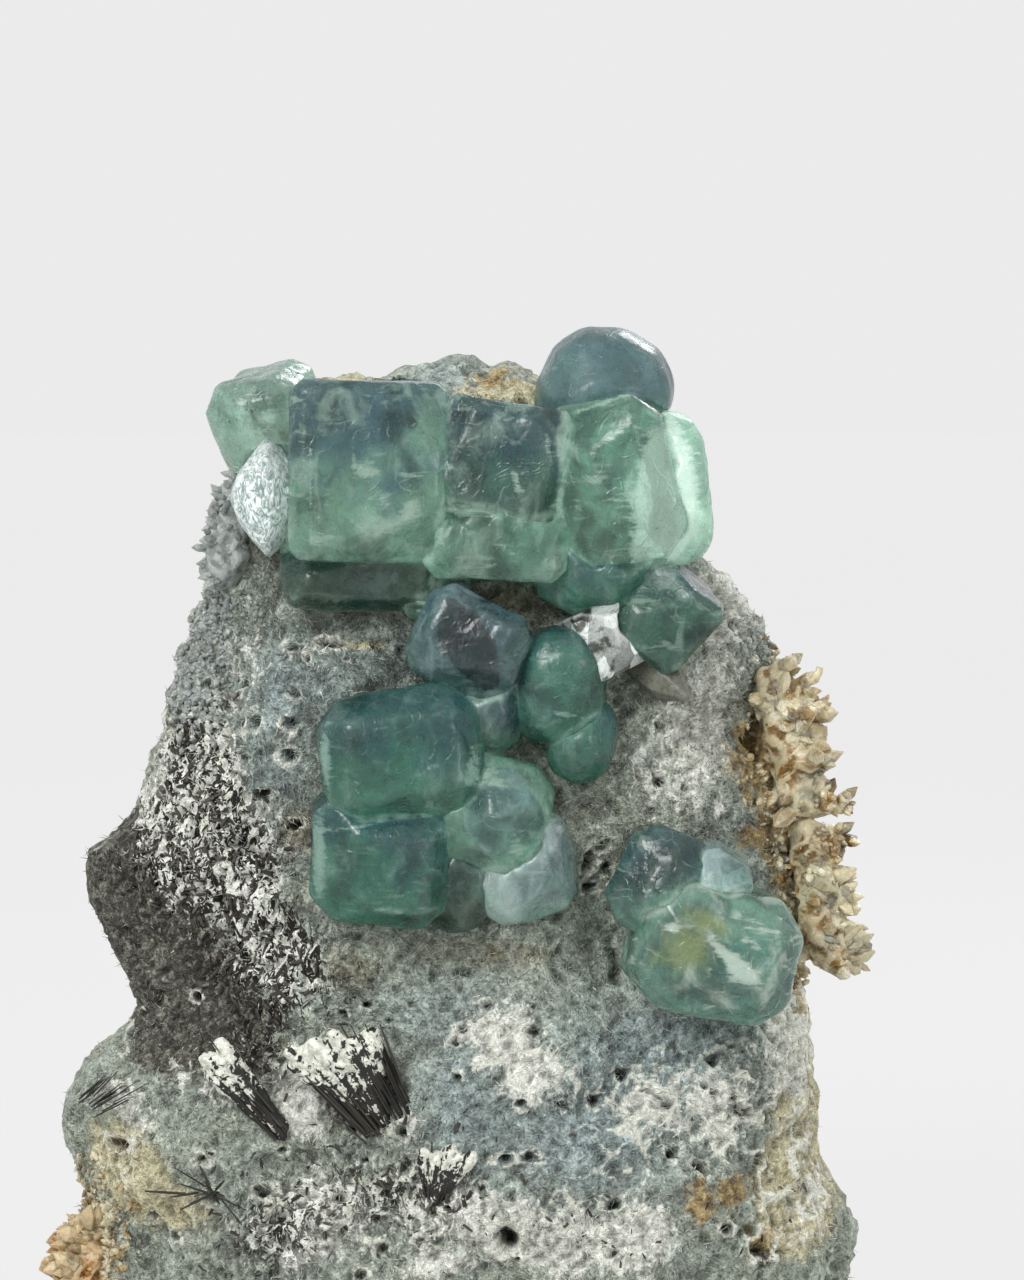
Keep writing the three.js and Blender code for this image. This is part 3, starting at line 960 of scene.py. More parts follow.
@dataclass(frozen=True)
class FeltedRock:
    """The plate: felted blue-grey rock with soot, chalk, speckle, cream and rust zones."""

    name: str = "felted_rock"

    def pattern(self, graph: Graph) -> Number:
        """Fine felt of light fibres over dark gaps.

        Args:
            graph: The material that is being built.

        Returns:
            0 in the gaps and 1 on the fibres.
        """
        drag = graph.warped(1.8, 0.9)
        coarse = graph.noise(0.85, 3.0, 0.62, 0.9, drag).crest(0.19)
        fine = graph.noise(0.42, 2.0, 0.6, 0.7, drag).crest(0.17)
        grain = graph.noise(0.26, 3.0, 0.7).ease(0.34, 0.7)
        mat = coarse * 0.42 + fine * 0.36 + grain * 0.34
        return mat.most(graph.painted("fibre") * (grain * 0.4 + 0.6)).held()

    def colour(self, graph: Graph, felt: Number) -> bpy.types.NodeSocket:
        """Mix the rock's colour from its zones.

        Args:
            graph: The material that is being built.
            felt: The felt pattern.

        Returns:
            The colour.
        """
        broad = graph.noise(4.5, 3.0, 0.6)
        mottle = graph.noise(1.3, 4.0, 0.66, 0.5)
        light = graph.mix(graph.painted("blue"), tone("c2caba"), tone("b8caca"))
        gaps = graph.mix(broad.ease(0.4, 0.65), tone("3a3831"), tone("4a514d"))
        body = graph.mix(felt, gaps, light)
        middle = graph.mix(broad.ease(0.35, 0.65), tone("7b7e72"), tone("87948f"))
        body = graph.mix(mottle.ease(0.3, 0.75) * 0.5, body, middle)
        body = graph.shaded(body, graph.noise(2.4, 4.0, 0.6, 0.7).ease(0.3, 0.7) * 0.5 + 0.76)
        brown = (graph.painted("brown") + (mottle - 0.5) * 0.9).ease(0.35, 0.8)
        body = graph.mix(brown * 0.7, body, graph.mix(felt, tone("3d3427"), tone("a3987c")))
        soot = (graph.painted("soot") + (mottle - 0.5) * 1.8).ease(0.3, 0.66)
        ash = graph.noise(0.8, 4.0, 0.72, 0.8).ease(0.44, 0.63)
        ash = graph.mix(ash, tone("47443d"), tone("9c998b"))
        body = graph.mix(soot * 0.94, body, graph.mix(felt, tone("1a1813"), ash))
        cream = (graph.painted("cream") + (mottle - 0.5) * 1.1).ease(0.35, 0.7)
        body = graph.mix(cream * 0.85, body, graph.mix(felt, tone("8a815e"), tone("e2dab6")))
        drip = graph.noise(1.0, 3.0, 0.6, 0.6, graph.mapped((1.0, 1.0, 0.35)))
        chalk = (graph.painted("chalk") + (mottle * 0.5 + drip * 0.5 - 0.5) * 2.4).ease(0.34, 0.54)
        body = graph.mix(chalk * 0.96, body, graph.mix(felt, tone("c4c6b8"), tone("fbfcf3")))
        curl = (graph.painted("curl") + (graph.noise(0.5, 3.0) - 0.5) * 0.7).ease(0.35, 0.75)
        body = graph.mix(curl * 0.9, body, graph.mix(felt, tone("b7b8a8"), tone("eff0e4")))
        marks = graph.noise(1.0, 3.0, 0.6, 1.5, graph.mapped((1.0, 1.0, 0.55), (0, 25, 0)))
        marks = marks.ease(0.5, 0.53) * graph.noise(2.4, 2.0).ease(0.26, 0.46)
        body = graph.mix((marks * graph.painted("speckle") * 1.6).held(), body, tone("26221c"))
        rust = (graph.painted("rust") + (mottle - 0.5) * 1.7).ease(0.34, 0.72)
        stain = graph.mix(graph.noise(0.9, 3.0).ease(0.35, 0.65), tone("7a5f36"), tone("c4ac74"))
        body = graph.mix(rust * 0.8, body, graph.shaded(stain, felt * 0.8 + 0.55))
        body = graph.mix(graph.painted("violet").ease(0.3, 0.8) * 0.8, body, tone("6b5666"))
        # Painted shade: darker in hollows and creases, from the concavity stored on the vertices, and a
        # little lighter elsewhere.
        return graph.shaded(body, 1.12 - graph.painted("hollow_shade") * 1.05)

    def material(self) -> bpy.types.Material:
        """Build the finish.

        Returns:
            The material.
        """
        graph = Graph(self.name)
        felt = self.pattern(graph)
        relief = felt * 0.7 + graph.noise(0.22, 2.0, 0.6) * 0.5
        return graph.close(
            {
                "Base Color": self.colour(graph, felt),
                "Roughness": 0.92 - felt * 0.18,
                "Specular IOR Level": 0.35,
                "Normal": graph.bump(relief, 0.36, 0.95),
            }
        )


@dataclass(frozen=True)
class CrustedNeedles:
    """White crust with black needle lines that fan out from one end."""

    name: str = "crusted_needles"

    def material(self) -> bpy.types.Material:
        """Build the finish.

        Returns:
            The material.
        """
        graph = Graph(self.name)
        fan = graph.painted("fan")
        share = graph.painted("share")
        spot = graph.node("ShaderNodeCombineXYZ", {}, {0: fan * 0.011, 1: share * 0.0014}).outputs[0]
        lines = graph.noise(1.0, 3.0, 0.7, 0.3, spot)
        dots = graph.noise(0.7, 3.0, 0.65, 0.9)
        black = (lines * 0.5 + dots * 0.5 + (0.7 - share) * 0.16).ease(0.5, 0.53)
        chalk = graph.mix(graph.noise(0.5, 3.0, 0.7).ease(0.3, 0.7), tone("a9ab9d"), tone("eceee2"))
        body = graph.mix(black, chalk, tone("1b1915"))
        return graph.close(
            {
                "Base Color": body,
                "Roughness": 0.85 - black * 0.3,
                "Normal": graph.bump(1 - black * 0.6 + dots * 0.4, 0.2, 0.9),
            }
        )


@dataclass(frozen=True)
class Fibre:
    """Fibres and grains that take a tone of their own.

    Attributes:
        name: Name of the material.
        dark: Colour of the darkest ones.
        light: Colour of the lightest ones.
        shine: Roughness.
        glow: Share of light that spreads below the surface.
    """

    name: str
    dark: Colour
    light: Colour
    shine: float = 0.6
    glow: float = 0.2

    def material(self) -> bpy.types.Material:
        """Build the finish.

        Returns:
            The material.
        """
        graph = Graph(self.name)
        own = graph.painted("tone")
        fleck = graph.noise(0.5, 3.0, 0.6)
        body = graph.mix((own + (fleck - 0.5) * 0.5).held(), self.dark, self.light)
        return graph.close(
            {
                "Base Color": body,
                "Roughness": fleck * 0.2 + (self.shine - 0.1),
                "Subsurface Weight": self.glow,
                "Subsurface Radius": (1.0, 1.0, 1.0),
                "Subsurface Scale": 0.3 / METRE,
                "Normal": graph.bump(fleck, 0.05, 0.5),
            }
        )


class Look(Enum):
    """The finishes that crystals choose from."""

    BIG = Fluorite("fluorite_growth_lined", tone("84b19a"), tone("4b7078"), split=0.6, veils=0.6)
    BLUE = Fluorite("fluorite_blue_topped", tone("4d7e6c"), tone("365b62"), split=0.5)
    TEAL = Fluorite(
        "fluorite_teal", tone("42806c"), tone("2f6365"), tone("a6cbbd"), split=0.6, veils=0.3, frost=0.22
    )
    GREEN = Fluorite("fluorite_green", tone("74a58f"), tone("669582"), veils=0.6)
    MINT = Fluorite(
        "fluorite_mint", tone("aed6c0"), tone("aed3c1"), tone("d9ede1"), tone("7aa692"),
        veils=1.0, specks=0.1, frost=0.25, clear=0.4,
    )
    PALE = Fluorite("fluorite_pale", tone("9dbdab"), tone("96b8aa"), veils=0.8, specks=0.9)
    DARK = Fluorite("fluorite_dark", tone("2c4a3a"), tone("2c4e47"), veils=0.15, specks=0.8)
    DOME = Fluorite(
        "fluorite_dome", tone("62897f"), tone("587a80"), tone("b1c4c8"), tone("38585a"),
        split=0.45, veils=0.3, frost=0.24,
    )
    VEINED = Fluorite(
        "fluorite_veined", tone("446b63"), tone("4d6d75"), tone("a3b7bc"), tone("060e0e"),
        veils=0.6, specks=1.0,
    )
    LAVENDER = Fluorite(
        "fluorite_lavender", tone("a4cabb"), tone("a4bcbe"), tone("d6e6e2"), tone("4b6d66"),
        split=0.4, veils=0.5, specks=0.5,
    )
    CORED = Fluorite(
        "fluorite_yellow_cored", tone("6fa494"), tone("83af9d"), tone("e2f1e4"), tone("2f534e"),
        split=0.5, veils=0.8, specks=0.3,
    )
    CORE = Fluorite("fluorite_core", tone("7ba598"), tone("78a0a0"), split=0.4, veils=0.5)
    ETCHED = EtchedFace()
    # On clear quartz the dark stained colour is painted shade, the grey-dark part of the clear crystal.
    CLEAR = Quartz(
        "clear_quartz", tone("e4ebe7"), tone("5b5e54"), tone("fdfefd"), cover=0.6, clear=0.35, facets=0.9
    )
    SMOKY = Quartz("smoky_quartz", tone("6f7063"), tone("3c3a2e"), tone("a5a698"), clear=0.4)
    RUSTY = Quartz(
        "rusty_quartz", tone("d2caae"), tone("8a672c"), tone("ece0ba"), cover=0.63, clear=0.3, facets=0.6
    )
    ORANGE = Quartz("orange_quartz", tone("cdb68c"), tone("ab7536"), tone("ecd8b0"), cover=0.62, clear=0.3)
    GREY = Quartz("grey_quartz", tone("969c98"), tone("6c655b"), tone("bfc5c1"), cover=0.4)
    NEEDLE = Fibre("black_needle", tone("0d0b09"), tone("433e34"), 0.42, 0.0)
    CRUSTED = CrustedNeedles()
    CRUMB = Fibre("chalk_crumb", tone("8c8f83"), tone("d9dcd1"), 0.85, 0.1)


# ----- Crystals -----


@dataclass
class Crystal:
    """One fluorite or quartz crystal, reworked from its frame node.

    Attributes:
        node: The frame node it stands for.
        look: Its finish.
        slot: A slot name for the finish; not used.
        bevel: Width of the rounding on its edges, in millimetres.
        voxel: Size of its finished faces, in millimetres.
        wear: Depth of worn corners and wavy faces, in millimetres.
        swell: How far its skin grows into the seam, in millimetres.
        chips: Number of flat breaks across its edges and corners.
        pinch: How much narrower its top and bottom are than its middle.
        soften: How often its skin is smoothed.
    """

    node: str
    look: Look
    slot: str
    bevel: float = 0.1
    voxel: float = 0.21
    wear: float = 0.3
    swell: float = 0.75
    chips: int = 6
    pinch: float = 0.0
    soften: int = 3

    @property
    def name(self) -> str:
        """Name of the piece."""
        return f"{self.node}_crystal"

    @property
    def seed(self) -> int:
        """A number of its own for its noise."""
        return sum(ord(letter) * (i + 3) for i, letter in enumerate(self.node)) % 9973

    def rounded(self) -> bpy.types.Object:
        """Copy the node, round its edges and give it an even fine mesh.

        Returns:
            The piece, in millimetres.
        """
        obj = node_copy(self.node, self.name)
        with editing(obj):
            bpy.ops.mesh.select_all(action="SELECT")
            bpy.ops.mesh.dissolve_limited(angle_limit=math.radians(2))
            bpy.ops.mesh.normals_make_consistent(inside=False)
        points = places(obj.data)
        middle = (points.min(axis=0) + points.max(axis=0)) / 2
        half = (points.max(axis=0) - points.min(axis=0)) / 2
        place_all(obj.data, middle + (points - middle) * (1 + self.swell / half))
        self.chipped(obj)
        modify(
            obj, "BEVEL", width=self.bevel, segments=2, limit_method="ANGLE",
            angle_limit=math.radians(22), use_clamp_overlap=True,
        )
        modify(obj, "REMESH", mode="VOXEL", voxel_size=self.voxel)
        modify(obj, "SMOOTH", factor=0.5, iterations=self.soften)
        return obj

    def chipped(self, obj: bpy.types.Object) -> None:
        """Break small flat pieces off the edges and corners that show.

        Args:
            obj: The piece, in millimetres.
        """
        random = np.random.default_rng(self.seed)
        for _ in range(self.chips):
            points = places(obj.data)
            middle = (points.min(axis=0) + points.max(axis=0)) / 2
            turn = 2 * math.pi * random.random()
            away = unit(np.array([math.cos(turn), -0.9 - random.random(), math.sin(turn)]))
            reach = (points - middle) @ away
            order = np.sort(reach)[::-1]
            depth = (0.02 + 0.05 * random.random()) * (reach.max() - reach.min())
            cut_at = middle + away * (order[0] - depth)
            with editing(obj):
                bpy.ops.mesh.select_all(action="SELECT")
                bpy.ops.mesh.bisect(
                    plane_co=cut_at, plane_no=away, use_fill=True, clear_outer=True, clear_inner=False
                )

    def shaped(self, obj: bpy.types.Object) -> None:
        """Wear the corners, ripple and terrace the faces and narrow the top and bottom.

        Args:
            obj: The piece, in millimetres.
        """
        mesh = obj.data
        points = places(mesh)
        normals = facings(mesh)
        sharp = np.clip(edge_sharpness(mesh, 24) / 0.3, 0, 1)
        wave = rough_noise(points, 5.0, self.seed, 3)
        worn = ease(0.1, 0.75, rough_noise(points, 1.8, self.seed + 5, 2))
        terrace = np.round(3 * rough_noise(points, 5.5, self.seed + 9, 2)) / 3
        move = self.wear * (0.9 * wave + 0.35 * terrace - 1.4 * sharp * worn)
        moved = points + normals * move[:, None]
        middle = (moved.min(axis=0) + moved.max(axis=0)) / 2
        height = np.abs(moved[:, 2] - middle[2]) / (moved[:, 2].max() - middle[2])
        moved[:, 0] = middle[0] + (moved[:, 0] - middle[0]) * (1 - self.pinch * height**1.6)
        place_all(mesh, moved)

    def dressed(self, obj: bpy.types.Object) -> None:
        """Store where the edges are and how high each point lies in the crystal.

        Args:
            obj: The piece, in millimetres.
        """
        mesh = obj.data
        points = places(mesh)
        low, high = points[:, 2].min(), points[:, 2].max()
        paint(mesh, "rise", (points[:, 2] - low) / (high - low))
        paint(mesh, "edge", np.clip(edge_sharpness(mesh, 10) / 0.12, 0, 2))
        # Broad convex rims, which the finish paints paler as light through thin edges.
        paint(mesh, "rim", np.clip(edge_sharpness(mesh, 60) / 0.5, 0, 1))
        # Patches of painted light and painted shade, the dark vein and the yellow cores, read at each
        # point.
        for name, patches in CRYSTAL_ZONES.items():
            paint(mesh, name, blots(patches, points))
        # Closeness to the neighbouring crystals, where the finish paints light coming through.
        tree = node_tree([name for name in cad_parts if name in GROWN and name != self.node])
        near = [tree.find_nearest(Vector(point), 2.0)[3] for point in points]
        apart = np.array([2.0 if gap is None else gap for gap in near])
        paint(mesh, "join_light", 1 - ease(0.35, 1.5, apart))

    def build(self, materials: dict[Look, bpy.types.Material]) -> bpy.types.Object:
        """Make the crystal.

        Args:
            materials: The finishes that are already built.

        Returns:
            The finished piece.
        """
        obj = self.rounded()
        self.shaped(obj)
        self.dressed(obj)
        return finish_piece(obj, materials[self.look], [self.node])


CRYSTALS = [
    Crystal("fluorite_big_cube", Look.BIG, "fluorite_blue_green"),
    Crystal(
        "fluorite_frosted_end", Look.ETCHED, "fluorite_frosted", voxel=0.2, wear=0.1, chips=0, pinch=0.8
    ),
    Crystal("fluorite_second_cube", Look.BLUE, "fluorite_blue_green"),
    Crystal("fluorite_corner", Look.PALE, "fluorite_pale_green", wear=0.6, chips=4, soften=12),
    Crystal("fluorite_right_block", Look.GREEN, "fluorite_pale_green", 0.4, wear=0.5, soften=16),
    Crystal("fluorite_dome", Look.DOME, "fluorite_grey_blue", soften=90),
    Crystal("fluorite_right_lobe", Look.MINT, "fluorite_mint", wear=0.7, swell=0.9, soften=16),
    Crystal("fluorite_underside", Look.DARK, "fluorite_dark_green", wear=0.6),
    Crystal("fluorite_lower_cube", Look.GREEN, "fluorite_pale_green", wear=0.45),
    Crystal("fluorite_lower_right", Look.TEAL, "fluorite_blue_green", 0.3, wear=0.5, soften=12),
    Crystal("fluorite_small_dark", Look.DARK, "fluorite_dark_green", voxel=0.2),
    Crystal("fluorite_spur", Look.BLUE, "fluorite_blue_green", voxel=0.22),
    Crystal("fluorite_veined_cube", Look.VEINED, "fluorite_blue_green", 0.35, wear=0.45, soften=14),
    Crystal("fluorite_blue_foot", Look.BLUE, "fluorite_blue_green", 0.3, 0.2),
    Crystal("fluorite_oval_upper", Look.TEAL, "fluorite_pale_green", voxel=0.22, soften=30),
    Crystal("fluorite_oval_lower", Look.TEAL, "fluorite_blue_green", voxel=0.2, soften=30),
    Crystal("fluorite_left_upper", Look.TEAL, "fluorite_blue_green", 0.45, wear=0.45, chips=0, soften=40),
    Crystal("fluorite_left_lower", Look.TEAL, "fluorite_blue_green", 0.45, wear=0.45, chips=4, soften=30),
    Crystal("fluorite_middle_inset", Look.CORE, "fluorite_grey_blue", 0.15, 0.2, swell=1.5, chips=9),
    Crystal("fluorite_middle", Look.GREEN, "fluorite_pale_green", 0.4, 0.24, 0.45, soften=20),
    Crystal("fluorite_pale_lobe", Look.LAVENDER, "fluorite_grey_blue", wear=0.45),
    Crystal("fluorite_wedge", Look.DARK, "fluorite_dark_green", voxel=0.2),
    Crystal("fluorite_pair_main", Look.CORED, "fluorite_blue_green", 0.6, wear=0.7, soften=40),
    Crystal("fluorite_pair_cap", Look.BLUE, "fluorite_blue_green", 0.4, wear=0.45),
    Crystal("fluorite_pair_side", Look.LAVENDER, "fluorite_grey_blue", 0.3, 0.2),
    Crystal("clear_quartz_rhomb", Look.CLEAR, "clear_quartz", 0.06, 0.18, 0.06, 1.1, 4),
    Crystal("smoky_quartz_point", Look.SMOKY, "smoky_quartz", 0.06, 0.16, 0.06, 0.5, 2),
]


# Patches on the crystal faces: glow is painted light, shade is painted shade together with the real dark
# vein of the veined cube, yellow marks the yellow cores.
CRYSTAL_ZONES = {
    "glow": [
        Blot(-7.1, 73.9, 1.3, 0.9, 0.9, 10), Blot(-3.5, 70.9, 1.5, 1.1, 0.9, 50),
        Blot(-10.8, 68.5, 1.8, 0.9, 0.7), Blot(-6.1, 69.3, 3.0, 0.8, 0.7, 10),
        Blot(-8.0, 76.0, 0.12, 3.0, 0.9), Blot(-11.4, 73.0, 0.12, 5.0, 0.7),
        Blot(5.0, 72.8, 0.5, 1.4, 1.0, 20), Blot(7.4, 76.0, 0.4, 1.0, 0.8),
        Blot(-0.5, 69.0, 0.25, 0.7, 1.2, -30), Blot(1.4, 66.2, 2.4, 0.5, 0.7),
        Blot(4.5, 67.6, 2.0, 0.8, 0.5), Blot(11.8, 74.2, 1.6, 1.1, 0.5), Blot(9.9, 70.9, 1.4, 1.3, 0.4),
        Blot(16.5, 73.2, 1.2, 2.4, 1.4, -12), Blot(15.8, 69.2, 1.2, 1.6, 1.0),
        Blot(13.2, 71.4, 1.8, 1.6, 0.4), Blot(18.2, 71.0, 1.6, 3.2, 0.8),
        Blot(-15.0, 78.0, 1.4, 0.9, 0.8, 30), Blot(-17.0, 76.6, 0.8, 1.0, 0.6),
        Blot(-12.6, 79.4, 0.7, 0.9, 0.7), Blot(12.0, 79.2, 3.6, 0.25, 0.9, 18),
        Blot(1.4, 50.2, 0.7, 1.6, 0.9), Blot(0.9, 57.0, 1.4, 0.5, 0.5), Blot(-10.3, 51.2, 0.6, 3.0, 1.0),
        Blot(-10.8, 43.0, 0.7, 3.8, 1.0), Blot(-5.6, 39.0, 3.4, 0.5, 0.8),
        Blot(-6.6, 53.6, 2.0, 0.35, 0.6), Blot(-5.0, 51.6, 2.0, 0.8, 0.3, 20),
        Blot(-7.4, 45.7, 3.0, 0.25, 0.8, 10), Blot(5.2, 44.0, 1.2, 1.6, 0.5),
        Blot(3.0, 49.0, 1.6, 0.7, 0.5), Blot(22.9, 34.4, 1.7, 1.0, 1.1, -35),
        Blot(20.6, 32.6, 1.3, 0.8, 0.6, 40), Blot(17.3, 37.9, 0.8, 0.45, 1.0),
        Blot(20.4, 37.4, 0.8, 0.5, 0.7, -40), Blot(20.2, 41.5, 0.8, 1.0, 0.7, -40),
        Blot(8.6, 59.2, 1.0, 0.6, 0.5), Blot(9.0, 54.3, 2.0, 0.25, 0.8, -15),
        Blot(19.5, 63.0, 1.2, 0.3, 0.6, -40), Blot(14.2, 44.0, 0.25, 1.6, 0.6, 12),
        Blot(16.1, 74.6, 1.0, 2.0, 1.5), Blot(15.9, 71.0, 1.2, 2.6, 1.6, 14),
        Blot(15.3, 67.6, 1.4, 1.6, 1.4), Blot(17.3, 72.4, 1.5, 4.4, 1.8),
        Blot(16.6, 67.8, 1.6, 1.4, 1.2), Blot(12.6, 76.6, 2.4, 0.35, 0.7, 24),
        Blot(-2.6, 62.4, 0.8, 1.6, 0.6), Blot(4.6, 62.6, 0.8, 1.0, 0.4),
        Blot(21.6, 35.6, 2.6, 0.5, 1.0, -42), Blot(23.6, 36.6, 1.6, 0.4, 0.8, -42),
        Blot(17.8, 40.6, 1.4, 0.4, 0.7, 10),
    ],
    "shade": [
        Blot(-3.8, 78.0, 2.4, 1.4, 0.7), Blot(-9.9, 78.2, 1.4, 1.4, 0.5),
        Blot(-9.6, 72.0, 1.6, 2.0, 0.4), Blot(1.2, 75.6, 2.4, 1.6, 0.6), Blot(7.3, 78.6, 1.1, 1.4, 0.9),
        Blot(12.6, 82.4, 3.0, 1.2, 0.3), Blot(0.2, 61.6, 1.4, 1.2, 2.0), Blot(0.9, 60.2, 1.6, 1.2, 2.4),
        Blot(1.6, 58.6, 1.5, 1.2, 2.2), Blot(2.6, 57.2, 1.0, 0.9, 1.8), Blot(-0.2, 62.9, 0.7, 0.7, 1.2),
        Blot(-8.0, 52.4, 1.6, 1.6, 0.7), Blot(-2.4, 47.9, 2.2, 0.9, 0.4),
        Blot(-3.0, 44.4, 2.2, 0.7, 0.5), Blot(4.3, 46.3, 0.9, 0.8, 0.5), Blot(17.1, 43.4, 1.3, 0.9, 1.0),
        Blot(16.4, 41.8, 2.0, 2.0, 0.9), Blot(14.6, 40.6, 0.7, 1.4, 0.6),
        Blot(17.6, 32.4, 1.4, 1.1, 0.5), Blot(25.4, 33.6, 1.0, 1.6, 0.4),
        Blot(19.6, 60.8, 1.6, 1.8, 0.8), Blot(10.6, 66.4, 1.4, 1.0, 0.6), Blot(6.4, 69.8, 1.6, 0.8, 0.4),
        Blot(9.8, 50.6, 0.9, 1.0, 0.3),
    ],
    "yellow": [
        Blot(18.6, 36.4, 2.0, 2.0, 1.0), Blot(20.4, 38.2, 2.0, 0.9, 0.8, -30),
        Blot(16.4, 35.0, 1.1, 1.4, 0.5), Blot(-6.0, 41.0, 1.6, 1.6, 0.3),
        Blot(3.2, 42.6, 1.2, 1.0, 0.25),
    ],
}
GROWN = {crystal.node for crystal in CRYSTALS if crystal.node.startswith("fluorite")}


# ----- Rock plate -----


@dataclass(frozen=True)
class Vug:
    """A small hole in the crystal face with a raised pale rim, in millimetres.

    Attributes:
        x: Middle of the hole across the face.
        z: Middle of the hole up the face.
        wide: Half width.
        high: Half height.
        depth: Depth of the hole.
        rim: Height of the rim.
    """

    x: float
    z: float
    wide: float
    high: float
    depth: float = 1.2
    rim: float = 0.25

    def reach(self, points: np.ndarray) -> np.ndarray:
        """Distance from the middle of the hole.

        Args:
            points: Places in millimetres, one row each.

        Returns:
            The distance in hole radii, one value for each point.
        """
        ragged = 1 + 0.5 * smooth_noise(points, 0.8, 71)
        across = (points[:, 0] - self.x) / self.wide
        up = (points[:, 2] - self.z) / self.high
        return np.hypot(across, up) * ragged


VUGS = [
    Vug(-16.2, 53.2, 0.7, 0.6), Vug(-13.4, 53.1, 0.45, 0.55), Vug(-13.3, 50.4, 0.6, 0.5),
    Vug(-15.8, 47.1, 0.6, 0.5), Vug(-13.0, 59.1, 0.8, 0.4), Vug(-9.7, 59.5, 1.0, 0.4),
    Vug(-17.6, 43.0, 1.5, 0.5, 0.6, 0.1), Vug(-4.2, 37.0, 0.8, 0.6, 1.8, 0.0),
    Vug(24.8, 51.4, 1.1, 2.2, 3.0, 0.0), Vug(27.7, 44.6, 0.8, 0.7, 0.9),
    Vug(27.3, 42.1, 0.8, 0.8, 0.7, 0.35), Vug(4.1, 11.8, 0.9, 0.9, 2.4), Vug(19.7, 17.5, 0.6, 0.5, 1.4),
    Vug(17.4, 18.6, 0.5, 0.4), Vug(12.7, 14.7, 0.7, 0.5, 1.6), Vug(25.0, 10.7, 0.9, 0.9, 1.2),
    Vug(-14.5, 13.5, 0.9, 0.6), Vug(13.5, 24.8, 0.5, 0.5), Vug(17.2, 22.3, 0.5, 0.4),
    Vug(20.8, 25.5, 0.5, 0.5), Vug(8.6, 22.6, 0.5, 0.4), Vug(23.6, 21.2, 0.5, 0.6),
    Vug(6.0, 18.4, 0.6, 0.4), Vug(-27.5, 18.5, 0.8, 0.6), Vug(-24.5, 13.2, 0.5, 0.4),
    Vug(-22.6, 11.6, 0.6, 0.5), Vug(0.6, 33.2, 0.7, 0.4, 0.9, 0.0), Vug(12.9, 33.6, 0.7, 1.8, 1.2, 0.0),
    Vug(3.2, 49.6, 0.8, 1.2, 1.0, 0.0), Vug(-8.4, 36.2, 0.9, 0.4, 0.9, 0.0),
    Vug(10.7, 42.2, 0.5, 0.8, 1.0), Vug(12.1, 41.3, 0.4, 0.7), Vug(10.9, 39.9, 0.5, 0.4),
    Vug(11.8, 43.0, 0.4, 0.4), Vug(22.2, 62.4, 0.4, 0.5, 0.8, 0.1), Vug(20.6, 64.2, 0.5, 0.4, 0.8, 0.1),
    Vug(24.6, 60.4, 0.4, 0.4, 0.8, 0.1),
]


def small_vugs() -> list[Vug]:
    """Small holes scattered over the lower part and the right shoulder of the plate.

    Returns:
        The holes.
    """
    random = np.random.default_rng(7)
    found = []
    # Each field's left and right side, its bottom and top, and its number of holes.
    fields = ((-28, 27, 9, 31, 52), (16, 26, 44, 65, 16), (-22, -6, 44, 62, 12))
    for left, right, low, high, count in fields:
        for x, z, size in random.random((count, 3)):
            wide = 0.25 + 0.45 * size**2
            place = (left + (right - left) * x, low + (high - low) * z)
            found.append(Vug(*place, wide, 0.75 * wide, 1.1, 0.3))
    return found


KNOBS = [
    Blot(0.2, 82.4, 2.0, 1.2, 0.8), Blot(4.8, 81.8, 1.8, 1.0, 0.8), Blot(-3.6, 82.0, 1.4, 0.8, 0.5),
    Blot(-12.6, 81.2, 1.6, 0.6, 0.5), Blot(-8.6, 81.4, 1.4, 0.6, 0.5), Blot(-22.4, 57.6, 0.8, 0.9),
    Blot(-24.6, 52.5, 0.9, 0.8), Blot(-29.6, 44.4, 1.1, 0.9), Blot(22.6, 64.4, 0.7, 0.7),
    Blot(25.3, 60.8, 0.7, 0.8), Blot(-30.6, 40.6, 0.9, 0.9), Blot(-21.6, 60.4, 0.7, 0.8),
]
CURLS = [
    Blot(17, 22, 10, 7, 0.9), Blot(4, 27, 5, 4, 0.9), Blot(26, 20, 3, 12, 0.9), Blot(6, 13, 9, 4, 1.0),
    Blot(-5, 15, 7, 5, 0.9), Blot(-15, 12, 7, 4, 0.9), Blot(-18, 24, 6, 4, 0.7),
    Blot(-20, 46, 6, 10, 0.8), Blot(-17, 58, 4, 6, 0.7), Blot(22, 58, 4, 7, 0.6),
    Blot(27, 42, 3, 5, 0.7), Blot(11.4, 41, 1.8, 2.2, 1.0), Blot(-14, 33, 6, 5, 0.7),
    Blot(-27, 17, 4, 6, 0.6), Blot(14, 52, 4, 4, 0.3),
]

